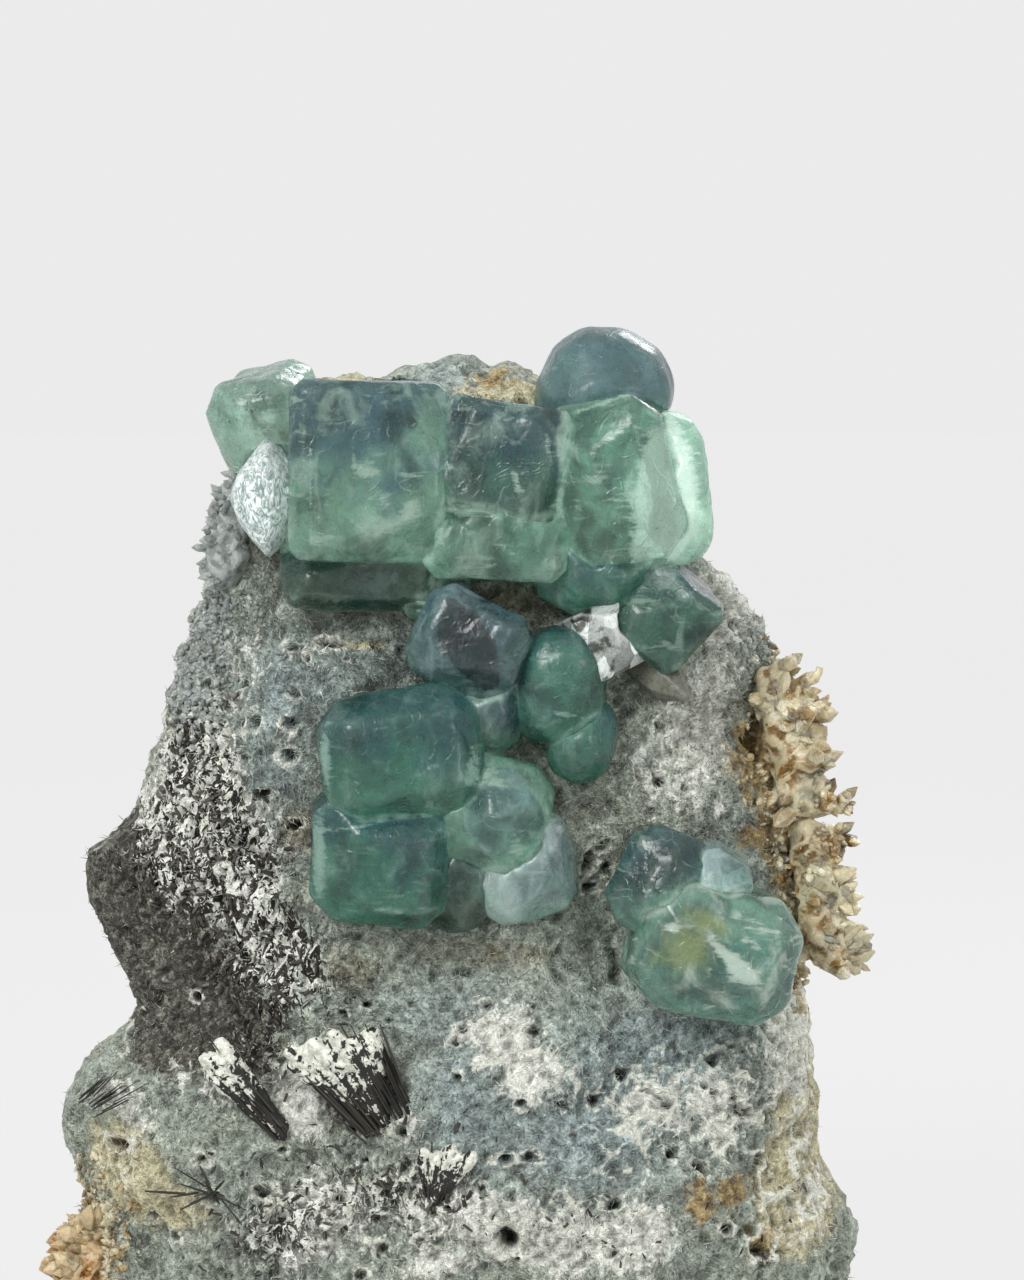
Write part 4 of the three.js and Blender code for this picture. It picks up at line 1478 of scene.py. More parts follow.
ZONES = {
    "soot": [
        Blot(-28.5, 38.5, 3.6, 4.5, 1.1), Blot(-25, 33.5, 4.5, 4.5, 1.1), Blot(-21.5, 29, 5, 3.8, 1.1),
        Blot(-26.5, 43, 2.2, 2.2, 0.8), Blot(-23.4, 36, 3, 4.5, 0.9), Blot(-16.4, 29.5, 4, 2.6, 0.5),
        Blot(-24.4, 25.6, 3, 2.2, 0.6), Blot(-17, 25.5, 3, 2.5, 0.6), Blot(-9, 22.5, 3.2, 2.2, 0.8, -40),
        Blot(-23.6, 54, 1.2, 2, 0.5), Blot(2, 11, 3, 2, 0.5), Blot(24.9, 51.5, 2, 3, 0.9),
        Blot(-5, 63.4, 7, 1.3, 0.35), Blot(26.5, 15.5, 1.5, 3, 0.6), Blot(25.2, 10.6, 1.6, 1.6, 1.0),
    ],
    "speckle": [
        Blot(-21, 50, 3.6, 6), Blot(-18.5, 41, 5.5, 6), Blot(-15, 33, 5.5, 4), Blot(-16, 26, 3, 3, 0.7),
        Blot(-5, 16, 7, 4, 0.6), Blot(-15, 12, 5, 4, 0.6), Blot(10, 12, 9, 3, 0.24),
        Blot(-24, 41, 3, 4, 0.9),
    ],
    "chalk": [
        Blot(-21, 50, 3.6, 6, 1.0), Blot(-17.8, 42, 4.2, 5.5, 1.0), Blot(-14.6, 33.6, 3.6, 3.2, 0.7),
        Blot(-24.5, 45, 2, 4, 0.7), Blot(-9.6, 25.6, 3.6, 2.6, 0.9, 20), Blot(-10, 14, 4, 3, 0.7),
        Blot(0, 14, 5, 3, 0.75), Blot(10, 11, 5, 2.5, 0.8), Blot(20.5, 56.5, 3, 8, 0.75),
        Blot(-23.6, 40, 2.0, 2.4, 0.35), Blot(-17, 27.4, 2.0, 2.0, 0.3), Blot(23, 63, 2.4, 3, 0.8),
        Blot(17, 48, 5, 5, 0.42), Blot(28, 27, 2.4, 6, 0.7), Blot(29, 14, 2.6, 4, 0.6),
        Blot(18, 23, 6, 5, 0.42), Blot(3.2, 28.6, 3.2, 2.6, 0.8), Blot(6.6, 25, 3, 2.4, 0.8),
        Blot(15.4, 12.4, 2.6, 2.6, 0.9), Blot(-12.6, 22, 1.6, 3, 0.9, 30),
        Blot(-11.5, 25.6, 2.4, 1.6, 0.6), Blot(-4, 21, 2.4, 2, 0.5), Blot(6.5, 12.5, 4, 1.6, 0.75, 15),
        Blot(-13, 12, 3.5, 3.5, 0.6), Blot(-2, 9.6, 4, 1.4, 0.6), Blot(-26.6, 21.6, 3.4, 1.4, 0.6, -50),
        Blot(15, 22.4, 2.4, 1.6, 0.5), Blot(21, 21.5, 2, 3, 0.45), Blot(-22, 24, 2, 2, 0.45),
        Blot(26, 27, 1.8, 4, 0.4), Blot(-16.5, 58.5, 2, 5, 0.35), Blot(26.6, 46, 2, 2, 0.4),
        Blot(-10, 58, 6, 3, 0.22),
    ],
    "cream": [
        Blot(-22.5, 13.6, 5, 2.2, 0.75), Blot(-27.5, 18.5, 4.2, 4.5, 0.55), Blot(27.2, 23, 2, 7, 0.7),
        Blot(25.8, 15, 2.4, 4, 0.6), Blot(-10, 81.2, 6, 1.4, 0.8), Blot(5, 80, 4.6, 1.6, 1.0),
        Blot(0.5, 76, 1, 4, 0.7), Blot(-7.2, 59.4, 2.4, 0.4, 1.0), Blot(-26, 16.5, 4, 2.5, 0.5),
        Blot(26.8, 13, 1.4, 1.4, 0.8), Blot(1, 66, 3, 1.5, 0.3), Blot(29, 22, 2.4, 8, 1.0),
        Blot(29, 13, 3, 4, 0.9), Blot(27.4, 30, 1.6, 4, 0.7), Blot(24.6, 47, 1.6, 6, 0.5),
    ],
    "rust": [
        Blot(23.4, 50.6, 2.2, 4.4, 0.6), Blot(28, 51, 3, 7, 0.9), Blot(29.8, 38.5, 2.2, 6.5, 0.8),
        Blot(23.6, 43.4, 1.8, 1.2, 0.7), Blot(19.8, 14.8, 1.3, 2.2, 0.9),
        Blot(22.6, 15.4, 1.2, 1.6, 0.9), Blot(25, 11.2, 1.6, 1.6, 0.6), Blot(-29.6, 9.6, 2.6, 3.2, 1.0),
        Blot(30.4, 22, 1.0, 10, 0.7), Blot(26.4, 46, 2.0, 8, 0.8), Blot(3, 81.4, 2.6, 1.4, 0.8),
        Blot(-12, 81, 2.2, 1, 0.7), Blot(-9.4, 59.6, 1.4, 0.6, 0.4), Blot(27.4, 33.4, 1.4, 2, 0.5),
        Blot(-21.4, 14.6, 1.4, 1, 0.5),
    ],
    "violet": [
        Blot(27.7, 44.6, 1.1, 0.9, 1.0), Blot(27.3, 42.1, 0.8, 0.8, 0.5),
        Blot(23.4, 43.6, 0.8, 0.6, 0.5),
    ],
    "blue": [
        Blot(-13.5, 56.5, 6, 4.5, 0.9), Blot(-15, 48, 4, 5, 0.8), Blot(-4, 58.5, 5, 3, 0.5),
        Blot(10, 19.5, 9, 5, 1.0), Blot(20, 27.5, 7, 4, 0.9), Blot(0, 24, 4, 6, 0.7),
        Blot(13, 26, 6, 5, 0.7), Blot(24, 64, 4, 5, 0.6), Blot(23, 41, 3, 6, 0.4),
        Blot(-2, 30.5, 8, 2.5, 0.5), Blot(-1, 81.5, 3, 2, 0.8),
    ],
    "brown": [
        Blot(-4, 62.4, 10, 1.8, 0.6), Blot(6, 63, 6, 2.5, 0.5), Blot(-12.8, 44.4, 2.4, 2.6, 1.0),
        Blot(12.6, 46.4, 5, 5, 0.5), Blot(3, 50, 2.5, 3, 0.7), Blot(4, 34.6, 11, 2.2, 0.6),
        Blot(-9, 33, 5, 3, 0.5), Blot(20, 48, 4, 5, 0.35), Blot(24.6, 56, 3, 3, 0.5),
    ],
}


@dataclass
class Ground:
    """The finished surface of the plate, for what grows on it.

    Attributes:
        points: Places in millimetres, one row each.
        normals: Directions in which the surface looks.
        zones: Strength of each zone at each place.
        bare: 1 where rock shows and 0 where a crystal covers it.
    """

    points: np.ndarray
    normals: np.ndarray
    zones: dict[str, np.ndarray]
    bare: np.ndarray

    def picked(self, count: int, weight: np.ndarray, seed: int) -> np.ndarray:
        """Pick places at random.

        Args:
            count: How many places are picked.
            weight: How likely each place is.
            seed: Makes the choice repeatable.

        Returns:
            The numbers of the picked places.
        """
        chance = np.clip(weight, 0, None) * self.bare
        random = np.random.default_rng(seed)
        return random.choice(len(chance), size=count, p=chance / chance.sum())


@dataclass
class RockPlate:
    """The plate of rock that carries everything else.

    Attributes:
        material: Its finish.
        node: The frame node it stands for.
        voxel: Size of the faces on the back, in millimetres. The front's are half.
        seam: Distance from a crystal within which the rock is drawn onto it.
        contact: Distance from the frame's crystal at which drawn rock rests.
        front: How squarely a face has to look forwards to be made finer, from 0 to 1.
        foot: Height below which the plate stays coarse, in millimetres.
    """

    material: bpy.types.Material
    node: str = "matrix_rock"
    voxel: float = 0.66
    seam: float = 0.75
    contact: float = 0.04
    front: float = 0.28
    foot: float = 6.0
    zones: dict[str, np.ndarray] = field(default_factory=dict, init=False)

    def meshed(self) -> bpy.types.Object:
        """Copy the node and give it an even mesh that is finer on the front.

        Returns:
            The piece, in millimetres.
        """
        obj = node_copy(self.node, "rock_plate")
        modify(obj, "REMESH", mode="VOXEL", voxel_size=self.voxel)
        mesh = obj.data
        centres = rows_of(mesh.polygons, "center", np.float32, 3)
        normals = rows_of(mesh.polygons, "normal", np.float32, 3)
        choose_faces(obj, (normals[:, 1] < -self.front) & (centres[:, 2] > self.foot))
        with editing(obj, "FACE"):
            bpy.ops.mesh.subdivide(number_cuts=1, smoothness=0.0)
        return obj

    def relief(self, points: np.ndarray, normals: np.ndarray) -> np.ndarray:
        """Height of the natural surface over the frame's smooth one.

        Args:
            points: Vertex places in millimetres.
            normals: Vertex normals.

        Returns:
            How far each vertex moves along its normal, in millimetres.
        """
        drag = np.stack([rough_noise(points, 2.6, 31 + k, 2) for k in range(3)], axis=1)
        swirled = points + 0.9 * drag
        lumps = 0.62 * rough_noise(points, 7.5, 3, 3) + 0.6 * rough_noise(points, 2.6, 7, 3)
        felt = 0.32 * ridges(swirled, 1.25, 11) + 0.16 * ridges(swirled, 0.75, 13)
        crust = blots(ZONES["chalk"], points) * ease(0.15, 0.4, 0.45 - cell_distance(points, 1.5, 19))
        holes = blots(ZONES["speckle"], points) * ease(0.02, 0.2, 0.34 - cell_distance(points, 1.2, 23))
        broken = 0.5 * np.clip(normals[:, 1], 0, 1) * ridges(points, 5.0, 29)
        raised = 0.45 * crust + 0.45 * self.curls(points) + 1.0 * blots(KNOBS, points)
        crest = 1.3 * ease(79.0, 82.0, points[:, 2])
        return lumps + felt + raised - 0.9 * holes + broken - crest - 0.2

    def curls(self, points: np.ndarray) -> np.ndarray:
        """Raised pale curls that net the chalky parts of the face, from 0 to 1.

        Args:
            points: Vertex places in millimetres.

        Returns:
            One value for each vertex.
        """
        cover = blots(CURLS, points)
        drag = drift(points, 1.6, 41)
        net = np.abs(smooth_noise(points + 0.8 * drag, 1.9, 47))
        finer = np.abs(smooth_noise(points + 0.5 * drag, 1.1, 53))
        line = np.maximum(1 - ease(0.04, 0.16, net), 0.8 * (1 - ease(0.03, 0.12, finer)))
        return cover * line

    def vugs(self, points: np.ndarray) -> tuple[np.ndarray, np.ndarray]:
        """Depth of the holes and strength of their rims.

        Args:
            points: Vertex places in millimetres.

        Returns:
            How far each vertex moves outwards, and how much of a rim it is.
        """
        push = np.zeros(len(points))
        rims = np.zeros(len(points))
        for vug in VUGS + small_vugs():
            reach = vug.reach(points)
            rim = np.exp(-(((reach - 1.3) / 0.35) ** 2))
            push += vug.rim * rim - vug.depth * (1 - ease(0.35, 1.15, reach))
            rims = np.maximum(rims, rim * (vug.rim > 0))
        return push, rims

    def drawn_in(self, points: np.ndarray) -> tuple[np.ndarray, np.ndarray]:
        """Draw the rock around each crystal onto its sides, so that no seam shows.

        Args:
            points: Vertex places in millimetres.

        Returns:
            The new places, and 1 for each that stays bare.
        """
        tree = node_tree(
            [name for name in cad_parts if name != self.node and "needle" not in name]
        )
        moved = points.copy()
        bare = np.ones(len(points))
        for i, point in enumerate(points):
            found, normal, _, distance = tree.find_nearest(Vector(point), 3.0)
            if found is None:
                continue
            outside = (Vector(point) - found).dot(normal)
            if outside < 0 or distance < self.seam:
                moved[i] = found + normal * self.contact
                bare[i] = 0
        return moved, bare

    def painted(self, mesh: bpy.types.Mesh, smooth: np.ndarray, rims: np.ndarray) -> None:
        """Store the zones, the rims and the painted shade of the hollows on the vertices.

        Args:
            mesh: The plate, in millimetres.
            smooth: Vertex places before the relief.
            rims: How much of a pale rim each vertex is.
        """
        points = places(mesh)
        facing = ease(-0.35, 0.25, -facings(mesh)[:, 1])
        scatter = rough_noise(points, 6.0, 61, 3)
        for name, patches in ZONES.items():
            back = {"rust": 0.5, "soot": 0.45, "chalk": 0.42, "cream": 0.5}.get(name, 0.3)
            own = ease(0.0, 0.7, rough_noise(points, 9.0, 67 + len(name), 3)) * back * (1 - facing)
            value = facing * blots(patches, smooth) + own
            if name == "chalk":
                value = np.maximum(value, 0.4 * rims * facing)
            self.zones[name] = np.clip(value + 0.12 * scatter * (value > 0.02), 0, 1)
            paint(mesh, name, self.zones[name])
        curl = np.maximum(self.curls(smooth), 0.9 * rims) * facing
        self.zones["curl"] = curl
        paint(mesh, "curl", curl)
        # Painted shade for hollows and creases: how far each vertex lies below its near and its wider
        # surroundings.
        sunk = -edge_sharpness(mesh, 5)
        wide = -edge_sharpness(mesh, 40)
        paint(mesh, "hollow_shade", np.clip(sunk / 0.16, 0, 1) * 0.55 + np.clip(wide / 1.1, 0, 1) * 0.5)

    def build(self) -> Ground:
        """Make the plate.

        Returns:
            Its finished surface, for what grows on it.
        """
        obj = self.meshed()
        mesh = obj.data
        smooth = places(mesh)
        normals = facings(mesh)
        push, rims = self.vugs(smooth)
        facing = ease(0.2, 0.6, -normals[:, 1])
        standing = ease(0.2, 2.2, smooth[:, 2])
        move = (self.relief(smooth, normals) + push * facing) * standing
        points, bare = self.drawn_in(smooth + normals * move[:, None])
        points[:, 2] = np.maximum(points[:, 2], 0)
        place_all(mesh, points)
        self.painted(mesh, smooth, rims)
        ground = Ground(points, facings(mesh), self.zones, bare)
        finish_piece(obj, self.material, [self.node])
        return ground


# ----- What grows on the plate: points, needles, fibres and crumbs -----


def shape_of(obj: bpy.types.Object) -> tuple[np.ndarray, list[tuple[int, ...]]]:
    """Take the vertices and faces of a small shape and delete its object.

    Args:
        obj: The object that was modelled for the shape.

    Returns:
        Its vertex places and its faces.
    """
    points = places(obj.data) + np.array(obj.location)
    faces = [tuple(polygon.vertices) for polygon in obj.data.polygons]
    bpy.data.objects.remove(obj)
    return points, faces


class Shape(Enum):
    """Small shapes that are modelled once and copied, 1 mm high and 1 mm wide."""

    FIBRE = "fibre"
    NEEDLE = "needle"
    POINT = "point"
    CRUMB = "crumb"

    def modelled(self) -> tuple[np.ndarray, list[tuple[int, ...]]]:
        """Model the shape, standing on the origin.

        Returns:
            Its vertex places and its faces.
        """
        if self is Shape.CRUMB:
            bpy.ops.mesh.primitive_ico_sphere_add(subdivisions=1, radius=0.5, location=(0, 0, 0.15))
            points, faces = shape_of(bpy.context.object)
            uneven = 0.75 + 0.35 * lattice(np.round(points * 7), 5)
            return points * uneven[:, None] * (1.0, 0.7, 0.6), faces
        if self is Shape.FIBRE:
            bpy.ops.mesh.primitive_cone_add(
                vertices=3, radius1=0.5, radius2=0.0, depth=1.0, location=(0, 0, 0.5)
            )
            return shape_of(bpy.context.object)
        sides = 6 if self is Shape.POINT else 5
        bpy.ops.mesh.primitive_cylinder_add(
            vertices=sides, radius=0.5, depth=0.6, location=(0, 0, 0.3)
        )
        obj = bpy.context.object
        choose_faces(obj, [face.normal.z > 0.9 for face in obj.data.polygons])
        with editing(obj, "FACE"):
            bpy.ops.mesh.extrude_region_move(TRANSFORM_OT_translate={"value": (0, 0, 0.4)})
            tip = 0.12 if self is Shape.POINT else 0.55
            bpy.ops.transform.resize(value=(tip, tip, 1))
        return shape_of(obj)


@dataclass
class Growth:
    """Many copies of one small shape.

    Attributes:
        name: Name of the piece.
        shape: The small shape.
        roots: Where each copy starts, in millimetres.
        heads: The direction in which each copy grows.
        lengths: Length of each copy, in millimetres.
        widths: Width of each copy, in millimetres.
        paints: Numbers that each copy carries for its material.
        seed: Makes the turns of the copies repeatable.
    """

    name: str
    shape: Shape
    roots: np.ndarray
    heads: np.ndarray
    lengths: np.ndarray
    widths: np.ndarray
    paints: dict[str, np.ndarray]
    seed: int = 1

    def placed(self, points: np.ndarray) -> np.ndarray:
        """Place the shape's vertices at every copy.

        Args:
            points: The shape's own vertices.

        Returns:
            The vertices of all copies, one row each.
        """
        random = np.random.default_rng(self.seed)
        up = unit(self.heads)
        loose = unit(random.normal(size=up.shape))
        side = unit(np.cross(up, loose))
        third = np.cross(up, side)
        wide = self.widths[:, None, None]
        across = points[None, :, 0, None] * side[:, None] + points[None, :, 1, None] * third[:, None]
        along = points[None, :, 2, None] * up[:, None] * self.lengths[:, None, None]
        return (self.roots[:, None] + across * wide + along).reshape(-1, 3)

    def build(
        self, material: bpy.types.Material, slot: str, nodes: Sequence[str] = ()
    ) -> bpy.types.Object:
        """Make the piece.

        Args:
            material: Its finish.
            slot: A slot name for the finish; not used.
            nodes: Frame nodes that it stands for.

        Returns:
            The finished piece.
        """
        points, faces = self.shape.modelled()
        count = len(points)
        mesh = bpy.data.meshes.new(self.name)
        copied = [
            tuple(count * i + corner for corner in face)
            for i in range(len(self.roots))
            for face in faces
        ]
        mesh.from_pydata(self.placed(points).tolist(), [], copied)
        for name, values in self.paints.items():
            paint(mesh, name, np.repeat(values, count))
        obj = bpy.data.objects.new(self.name, mesh)
        bpy.context.scene.collection.objects.link(obj)
        return finish_piece(obj, material, nodes, smooth=False)


@dataclass
class FeltCover:
    """Fine fibres matted over the plate, in the plate's own colours.

    Attributes:
        ground: The plate's surface.
        material: The plate's finish.
        count: Number of fibres in each of the two halves.
        length: Length of the longest fibres, in millimetres.
        width: Width of the widest fibres, in millimetres.
        lowest: Height of the lowest fibres, in millimetres.
        highest: Height of the highest fibres.
        split: Height at which the two halves meet.
    """

    ground: Ground
    material: bpy.types.Material
    count: int = 34000
    length: float = 1.05
    width: float = 0.13
    lowest: float = 1.5
    highest: float = 79.5
    split: float = 40.0

    def half(self, name: str, weight: np.ndarray, seed: int) -> None:
        """Lay the fibres of one half of the plate.

        Args:
            name: Name of the piece.
            weight: How likely each place of the plate is to carry a fibre.
            seed: Makes the fibres repeatable.
        """
        ground = self.ground
        random = np.random.default_rng(seed)
        spots = ground.picked(self.count, weight, seed)
        points = ground.points[spots]
        flow = drift(points, 2.2, 91)
        heads = unit(flow + 0.55 * random.normal(size=points.shape)) + 0.25 * ground.normals[spots]
        size = random.random(self.count)
        paints = {zone: values[spots] for zone, values in ground.zones.items()}
        paints["speckle"] = paints["speckle"] * 0
        paints["curl"] = paints["curl"] * 0
        paints["chalk"] = np.clip(paints["chalk"] + 0.2 * random.normal(size=self.count), 0, 1)
        paints["fibre"] = np.clip(0.35 + 0.3 * random.normal(size=self.count), 0, 1)
        # Fibres are darkened at random through the channel of the painted shade, so that their tone
        # differs.
        paints["hollow_shade"] = 0.4 * random.random(self.count)
        growth = Growth(
            name, Shape.FIBRE, points - 0.06 * ground.normals[spots], heads,
            self.length * (0.35 + 0.65 * size), self.width * (0.55 + 0.45 * random.random(self.count)),
            paints, seed,
        )
        growth.build(self.material, "rock")

    def build(self) -> None:
        """Make both halves."""
        ground = self.ground
        facing = ease(0.15, 0.7, -ground.normals[:, 1]) + 0.06
        zones = ground.zones
        shares = {"chalk": 0.5, "speckle": 0.8, "soot": 0.5, "cream": 0.5}
        covered = sum(share * zones[name] for name, share in shares.items())
        covered = np.maximum(np.clip(covered, 0, 0.9), 0.9 * zones["curl"])
        height = ground.points[:, 2]
        weight = facing * (1 - covered) * (height > self.lowest) * (height < self.highest)
        high = height > self.split
        self.half("felt_fibres_upper", weight * high, 101)
        self.half("felt_fibres_lower", weight * ~high, 103)


@dataclass
class Litter:
    """Black needles, white crumbs and tiny quartz points strewn over the plate.

    Attributes:
        ground: The plate's surface.
        materials: The finishes that are already built.
    """

    ground: Ground
    materials: dict[Look, bpy.types.Material]

    def strewn(
        self, name: str, shape: Shape, look: Look, slot: str, count: int, weight: np.ndarray,
        sizes: tuple[float, float], girth: float, rise: float, seed: int,
    ) -> None:
        """Strew one kind of growth.

        Args:
            name: Name of the piece.
            shape: The small shape.
            look: Its finish.
            slot: A slot name for the finish, handed on to the growth.
            count: Number of copies.
            weight: How likely each place is.
            sizes: Shortest and longest copy, in millimetres.
            girth: Width as a share of length.
            rise: 0 to lie on the rock, 1 and more to stand up from it.
            seed: Makes it repeatable.
        """
        ground = self.ground
        random = np.random.default_rng(seed)
        facing = ease(0.05, 0.4, -ground.normals[:, 1])
        spots = ground.picked(count, weight * facing, seed)
        normals = ground.normals[spots]
        aside = random.normal(size=normals.shape)
        aside -= (aside * normals).sum(axis=1, keepdims=True) * normals
        size = sizes[0] + (sizes[1] - sizes[0]) * random.random(count) ** 1.7
        growth = Growth(
            name, shape, ground.points[spots] - 0.05 * normals, unit(aside) + rise * normals,
            size, size * girth * (0.7 + 0.6 * random.random(count)),
            {"tone": random.random(count), "edge": random.random(count)}, seed,
        )
        growth.build(self.materials[look], slot)

    def build(self) -> None:
        """Make all the kinds."""
        points = self.ground.points
        zones = self.ground.zones
        rods = zones["speckle"] + 0.12 * zones["soot"]
        self.strewn(
            "strewn_needles", Shape.NEEDLE, Look.NEEDLE, "black_needle", 2300, rods**1.5,
            (0.25, 1.0), 0.34, 0.04, 111,
        )
        self.strewn(
            "chalk_crumbs", Shape.CRUMB, Look.CRUMB, "rock", 5200, zones["chalk"] ** 1.5,
            (0.14, 0.42), 1.1, 0.3, 113,
        )
        druse = blots(
            [
                Blot(25, 60, 2.0, 5, 0.4), Blot(-21, 63, 3, 6, 1.0), Blot(-18.5, 71, 2, 4, 1.0),
                Blot(-22, 56, 2.5, 4, 0.6),
            ],
            points,
        )
        self.strewn(
            "quartz_druse", Shape.POINT, Look.GREY, "grey_quartz", 1500, druse**1.5,
            (0.25, 0.8), 0.66, 0.9, 115,
        )
        rusty = blots(
            [
                Blot(28.0, 51, 2.6, 7), Blot(29.4, 38, 2, 7, 0.8), Blot(-30, 10, 2.5, 4, 0.8),
            ],
            points,
        )
        self.strewn(
            "rusty_druse", Shape.POINT, Look.RUSTY, "rusty_quartz", 1500, rusty**1.4,
            (0.25, 1.0), 0.6, 0.8, 117,
        )


@dataclass
class QuartzCrust:
    """One intergrown crust of quartz with points that lean outwards.

    Attributes:
        node: The frame node it stands for.
        look: Its finish.
        slot: A slot name for the finish, handed on to its points.
        lean: Direction in which most points lean.
        count: Number of points.
        longest: Length of the longest points, in millimetres.
    """

    node: str
    look: Look
    slot: str
    lean: Point
    count: int = 190
    longest: float = 2.3

    def base(self, material: bpy.types.Material) -> tuple[np.ndarray, np.ndarray]:
        """Make the lumpy body of the crust.

        Args:
            material: Its finish.

        Returns:
            The body's surface points and their normals.
        """
        obj = node_copy(self.node, f"{self.node}_body")
        modify(obj, "REMESH", mode="VOXEL", voxel_size=0.3)
        modify(obj, "SMOOTH", factor=0.8, iterations=10)
        mesh = obj.data
        points = places(mesh)
        move = 0.2 + 0.6 * rough_noise(points, 2.0, 7, 3) + 0.35 * ridges(points, 0.9, 9)
        place_all(mesh, points + facings(mesh) * move[:, None])
        paint(mesh, "edge", np.clip(edge_sharpness(mesh, 6) / 0.1, 0, 2))
        points, normals = places(mesh), facings(mesh)
        finish_piece(obj, material, [self.node])
        return points, normals

    def build(self, materials: dict[Look, bpy.types.Material]) -> None:
        """Make the body and its points.

        Args:
            materials: The finishes that are already built.
        """
        points, normals = self.base(materials[self.look])
        random = np.random.default_rng(len(self.node))
        lean = unit(np.array(self.lean))
        chance = np.clip(normals @ lean, 0, 1) + 0.25 * (normals[:, 1] < 0)
        spots = random.choice(len(points), size=self.count, p=chance / chance.sum())
        heads = 0.6 * normals[spots] + 0.6 * lean + 0.5 * random.normal(size=(self.count, 3))
        size = self.longest * (0.26 + 0.74 * random.random(self.count) ** 2.2)
        growth = Growth(
            f"{self.node}_points", Shape.POINT, points[spots] - 0.35 * normals[spots], heads, size,
            size * (0.34 + 0.36 * random.random(self.count)),
            {"edge": 0.9 * random.random(self.count)}, 5,
        )
        growth.build(materials[self.look], self.slot)


CRUSTS = [
    QuartzCrust("rusty_quartz_upper", Look.RUSTY, "rusty_quartz", (0.9, -0.35, 0.2)),
    QuartzCrust("rusty_quartz_lower", Look.RUSTY, "rusty_quartz", (0.9, -0.35, 0.0)),
    QuartzCrust("rusty_quartz_foot", Look.ORANGE, "rusty_quartz", (-0.8, -0.5, 0.1)),
    QuartzCrust("grey_quartz_left", Look.GREY, "grey_quartz", (-0.85, -0.4, 0.2), 150, 1.5),
]


@dataclass
class NeedleSpray:
    """One fan of thin black needles held by white crust.

    Attributes:
        node: The frame node it stands for.
        root: Where the needles meet, in millimetres.
        first: Tip of the needle at one side of the fan.
        last: Tip of the needle at the other side.
        count: Number of needles.
        girth: Width of a needle, in millimetres.
        base: Width of the end where the needles meet, in millimetres.
        loose: How far each needle strays from the fan, in millimetres.
        crust: Whether white crust holds the needles.
    """

    node: str
    root: Point
    first: Point
    last: Point
    count: int = 34
    girth: float = 0.26
    base: float = 0.8
    loose: float = 0.3
    crust: bool = True

    def build(self, materials: dict[Look, bpy.types.Material]) -> None:
        """Make the needles and the crust between them.

        Args:
            materials: The finishes that are already built.
        """
        random = np.random.default_rng(self.count)
        side = 2 * random.random((self.count, 1)) - 1
        share = 0.5 + 0.5 * np.sign(side) * np.abs(side) ** 0.5
        root = np.array(self.root) - (0.0, 0.5, 0.0)
        tips = np.array(self.first) * (1 - share) + np.array(self.last) * share
        aside = unit(np.array(self.last) - np.array(self.first)) * self.base
        feet = root + aside * (share - 0.5)
        rays = tips - feet + self.loose * random.normal(size=tips.shape)
        start = 0.45 * random.random((self.count, 1)) ** 2
        reach = start + 0.25 + 0.55 * random.random((self.count, 1))
        roots = feet + rays * start + 0.16 * random.normal(size=tips.shape)
        lengths = np.linalg.norm(rays, axis=1) * (reach - start)[:, 0]
        needles = Growth(
            f"{self.node}_needles", Shape.NEEDLE, roots, rays, lengths,
            self.girth * (0.55 + 0.6 * random.random(self.count)),
            {"tone": 0.5 * random.random(self.count)}, 3,
        )
        needles.build(materials[Look.NEEDLE], "black_needle", [self.node])
        if self.crust:
            self.crusted(materials[Look.CRUSTED])

    def crusted(self, material: bpy.types.Material) -> None:
        """Make the white crust that holds the needles.

        Args:
            material: Its finish.
        """
        obj = node_copy(self.node, f"{self.node}_crust")
        place_all(obj.data, places(obj.data) + 0.4 * facings(obj.data))
        modify(obj, "REMESH", mode="VOXEL", voxel_size=0.2)
        modify(obj, "SMOOTH", factor=0.7, iterations=6)
        mesh = obj.data
        points = places(mesh)
        along = unit((np.array(self.first) + np.array(self.last)) / 2 - self.root)
        aside = unit(np.cross(along, (0.0, 1.0, 0.0)))
        reach = (points - self.root) @ along
        fan = ((points - self.root) @ aside) / np.maximum(reach + 3.0, 0.5)
        line = np.stack([fan * 9, reach * 0.25, fan * 0], axis=1)
        move = 0.1 + 0.25 * smooth_noise(line, 1.0, 5) + 0.16 * rough_noise(points, 0.6, 6, 2)
        place_all(mesh, points + facings(mesh) * move[:, None])
        paint(mesh, "fan", fan)
        paint(mesh, "share", np.clip(reach / max(reach.max(), 0.1), 0, 1))
        finish_piece(obj, material)


SPRAYS = [
    NeedleSpray(
        "needle_fan", (-5.2, -13.6, 20.6), (-14.0, -16.4, 27.4), (-6.6, -16.6, 30.0), 92, 0.22, 4.3
    ),
    NeedleSpray(
        "needle_bundle", (-14.0, -13.9, 20.2), (-20.6, -15.9, 26.4), (-19.2, -16.2, 28.2), 34, 0.2, 1.4
    ),
    NeedleSpray(
        "needle_star", (-19.4, -16.6, 16.0), (-24.4, -17.2, 17.4), (-15.4, -17.2, 15.0), 24, 0.22, 0.4,
        1.4, False,
    ),
    NeedleSpray(
        "needle_edge", (-30.0, -9.8, 21.8), (-27.6, -13.0, 25.4), (-25.6, -13.2, 23.8), 26, 0.14, 1.8,
        0.3, False,
    ),
    NeedleSpray(
        "needle_spray_low", (-1.6, -15.0, 15.0), (-2.6, -17.2, 20.0), (1.8, -17.2, 19.4), 18, 0.22, 0.8
    ),
]


# ----- Studio -----


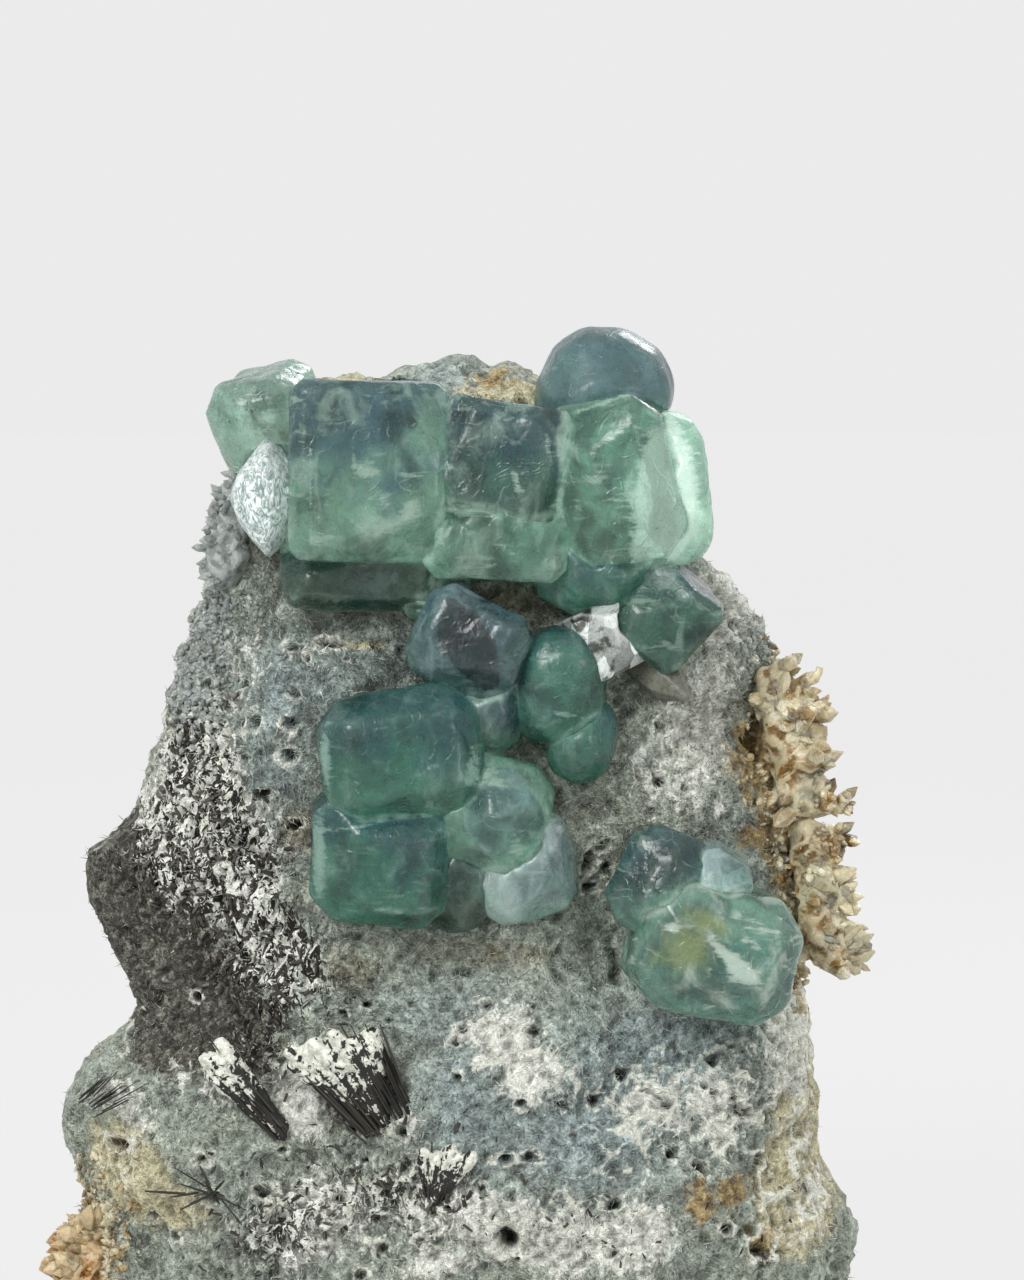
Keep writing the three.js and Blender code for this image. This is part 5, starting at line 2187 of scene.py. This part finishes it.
@dataclass
class Studio:
    """Pale floor, soft lights and the camera.

    Attributes:
        floor: Radius of the floor, in millimetres.
        backdrop: Colour of everything around the specimen.
        shown: Height of the picture at the specimen, in millimetres.
        distance: Distance of the camera, in millimetres.
        elevation: Angle of the camera above the horizon, in degrees.
        aim_right: How far right of the specimen's middle the camera looks.
        aim_share: Height at which it looks, as a share of the specimen's height.
    """

    floor: float = 1500.0
    backdrop: Colour = tone("ebebeb")
    shown: float = 102.4
    distance: float = 450.0
    elevation: float = 5.0
    aim_right: float = 4.4
    aim_share: float = 0.714

    def lit(self) -> None:
        """Set the even light of the room and three soft lamps."""
        world = bpy.data.worlds.new("studio")
        world.use_nodes = True
        world.node_tree.nodes["Background"].inputs[0].default_value = (*self.backdrop, 1.0)
        bpy.context.scene.world = world
        lamps = [
            ("key_lamp", (-180.0, -330.0, 300.0), 200.0, 1.3),
            ("fill_lamp", (260.0, -260.0, 120.0), 160.0, 0.2),
            ("rim_lamp", (120.0, 240.0, 260.0), 140.0, 0.35),
        ]
        for name, place, size, power in lamps:
            data = bpy.data.lights.new(name, "AREA")
            data.shape = "DISK"
            data.size = size / METRE
            data.energy = power
            lamp = bpy.data.objects.new(name, data)
            lamp.location = Vector(place) / METRE
            target = Vector((0.0, 0.0, 45.0)) / METRE
            lamp.rotation_euler = (target - lamp.location).to_track_quat("-Z", "Y").to_euler()
            bpy.context.scene.collection.objects.link(lamp)

    def floored(self) -> None:
        """Lay a round flat floor with an inset ring at its edge."""
        bpy.ops.object.select_all(action="DESELECT")
        radius = self.floor / METRE
        bpy.ops.mesh.primitive_circle_add(
            vertices=96, radius=radius, fill_type="NGON", location=(0, 0, 0)
        )
        obj = bpy.context.object
        obj.name = "studio_floor"
        with editing(obj, "FACE"):
            bpy.ops.mesh.select_all(action="SELECT")
            bpy.ops.mesh.inset(thickness=radius * 0.04, depth=0.0)
        graph = Graph("studio_floor")
        grain = graph.noise(60.0, 2.0)
        colour = graph.mix(grain, tone("505050"), tone("545454"))
        material = graph.close(
            {
                "Base Color": colour,
                "Roughness": 0.9,
                "Specular IOR Level": 0.1,
                "Emission Color": tone("ebebeb"),
                "Emission Strength": 0.886,
            }
        )
        obj.data.materials.append(material)
        obj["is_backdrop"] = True

    def filmed(self) -> None:
        """Place the camera so that the crystal face fills the picture."""
        low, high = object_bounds()
        middle = (low + high) / 2
        aim = Vector(
            (
                middle.x + self.aim_right / METRE,
                low.y + 6 / METRE,
                low.z + self.aim_share * (high.z - low.z),
            )
        )
        angle = math.radians(self.elevation)
        back = Vector((0.0, -math.cos(angle), math.sin(angle)))
        data = bpy.data.cameras.new("camera")
        data.lens = data.sensor_width * self.distance / self.shown
        data.clip_start = 0.01
        data.clip_end = 10.0
        camera = bpy.data.objects.new("camera", data)
        camera.location = aim + back * (self.distance / METRE)
        camera.rotation_euler = (-back).to_track_quat("-Z", "Y").to_euler()
        bpy.context.scene.collection.objects.link(camera)
        bpy.context.scene.camera = camera

    def build(self) -> None:
        """Set up the whole studio."""
        bpy.context.scene.view_settings.view_transform = "Standard"
        self.lit()
        self.floored()
        self.filmed()


# ----- Assembly -----


def main() -> None:
    """Build the studio and every piece of the specimen."""
    logging.basicConfig(level=logging.INFO, format="%(message)s")
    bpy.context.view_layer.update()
    Studio().build()
    materials = {look: look.value.material() for look in Look}
    rock = FeltedRock().material()
    for crystal in CRYSTALS:
        crystal.build(materials)
    ground = RockPlate(rock).build()
    FeltCover(ground, rock).build()
    Litter(ground, materials).build()
    for crust in CRUSTS:
        crust.build(materials)
    for spray in SPRAYS:
        spray.build(materials)


if __name__ == "__main__":
    main()
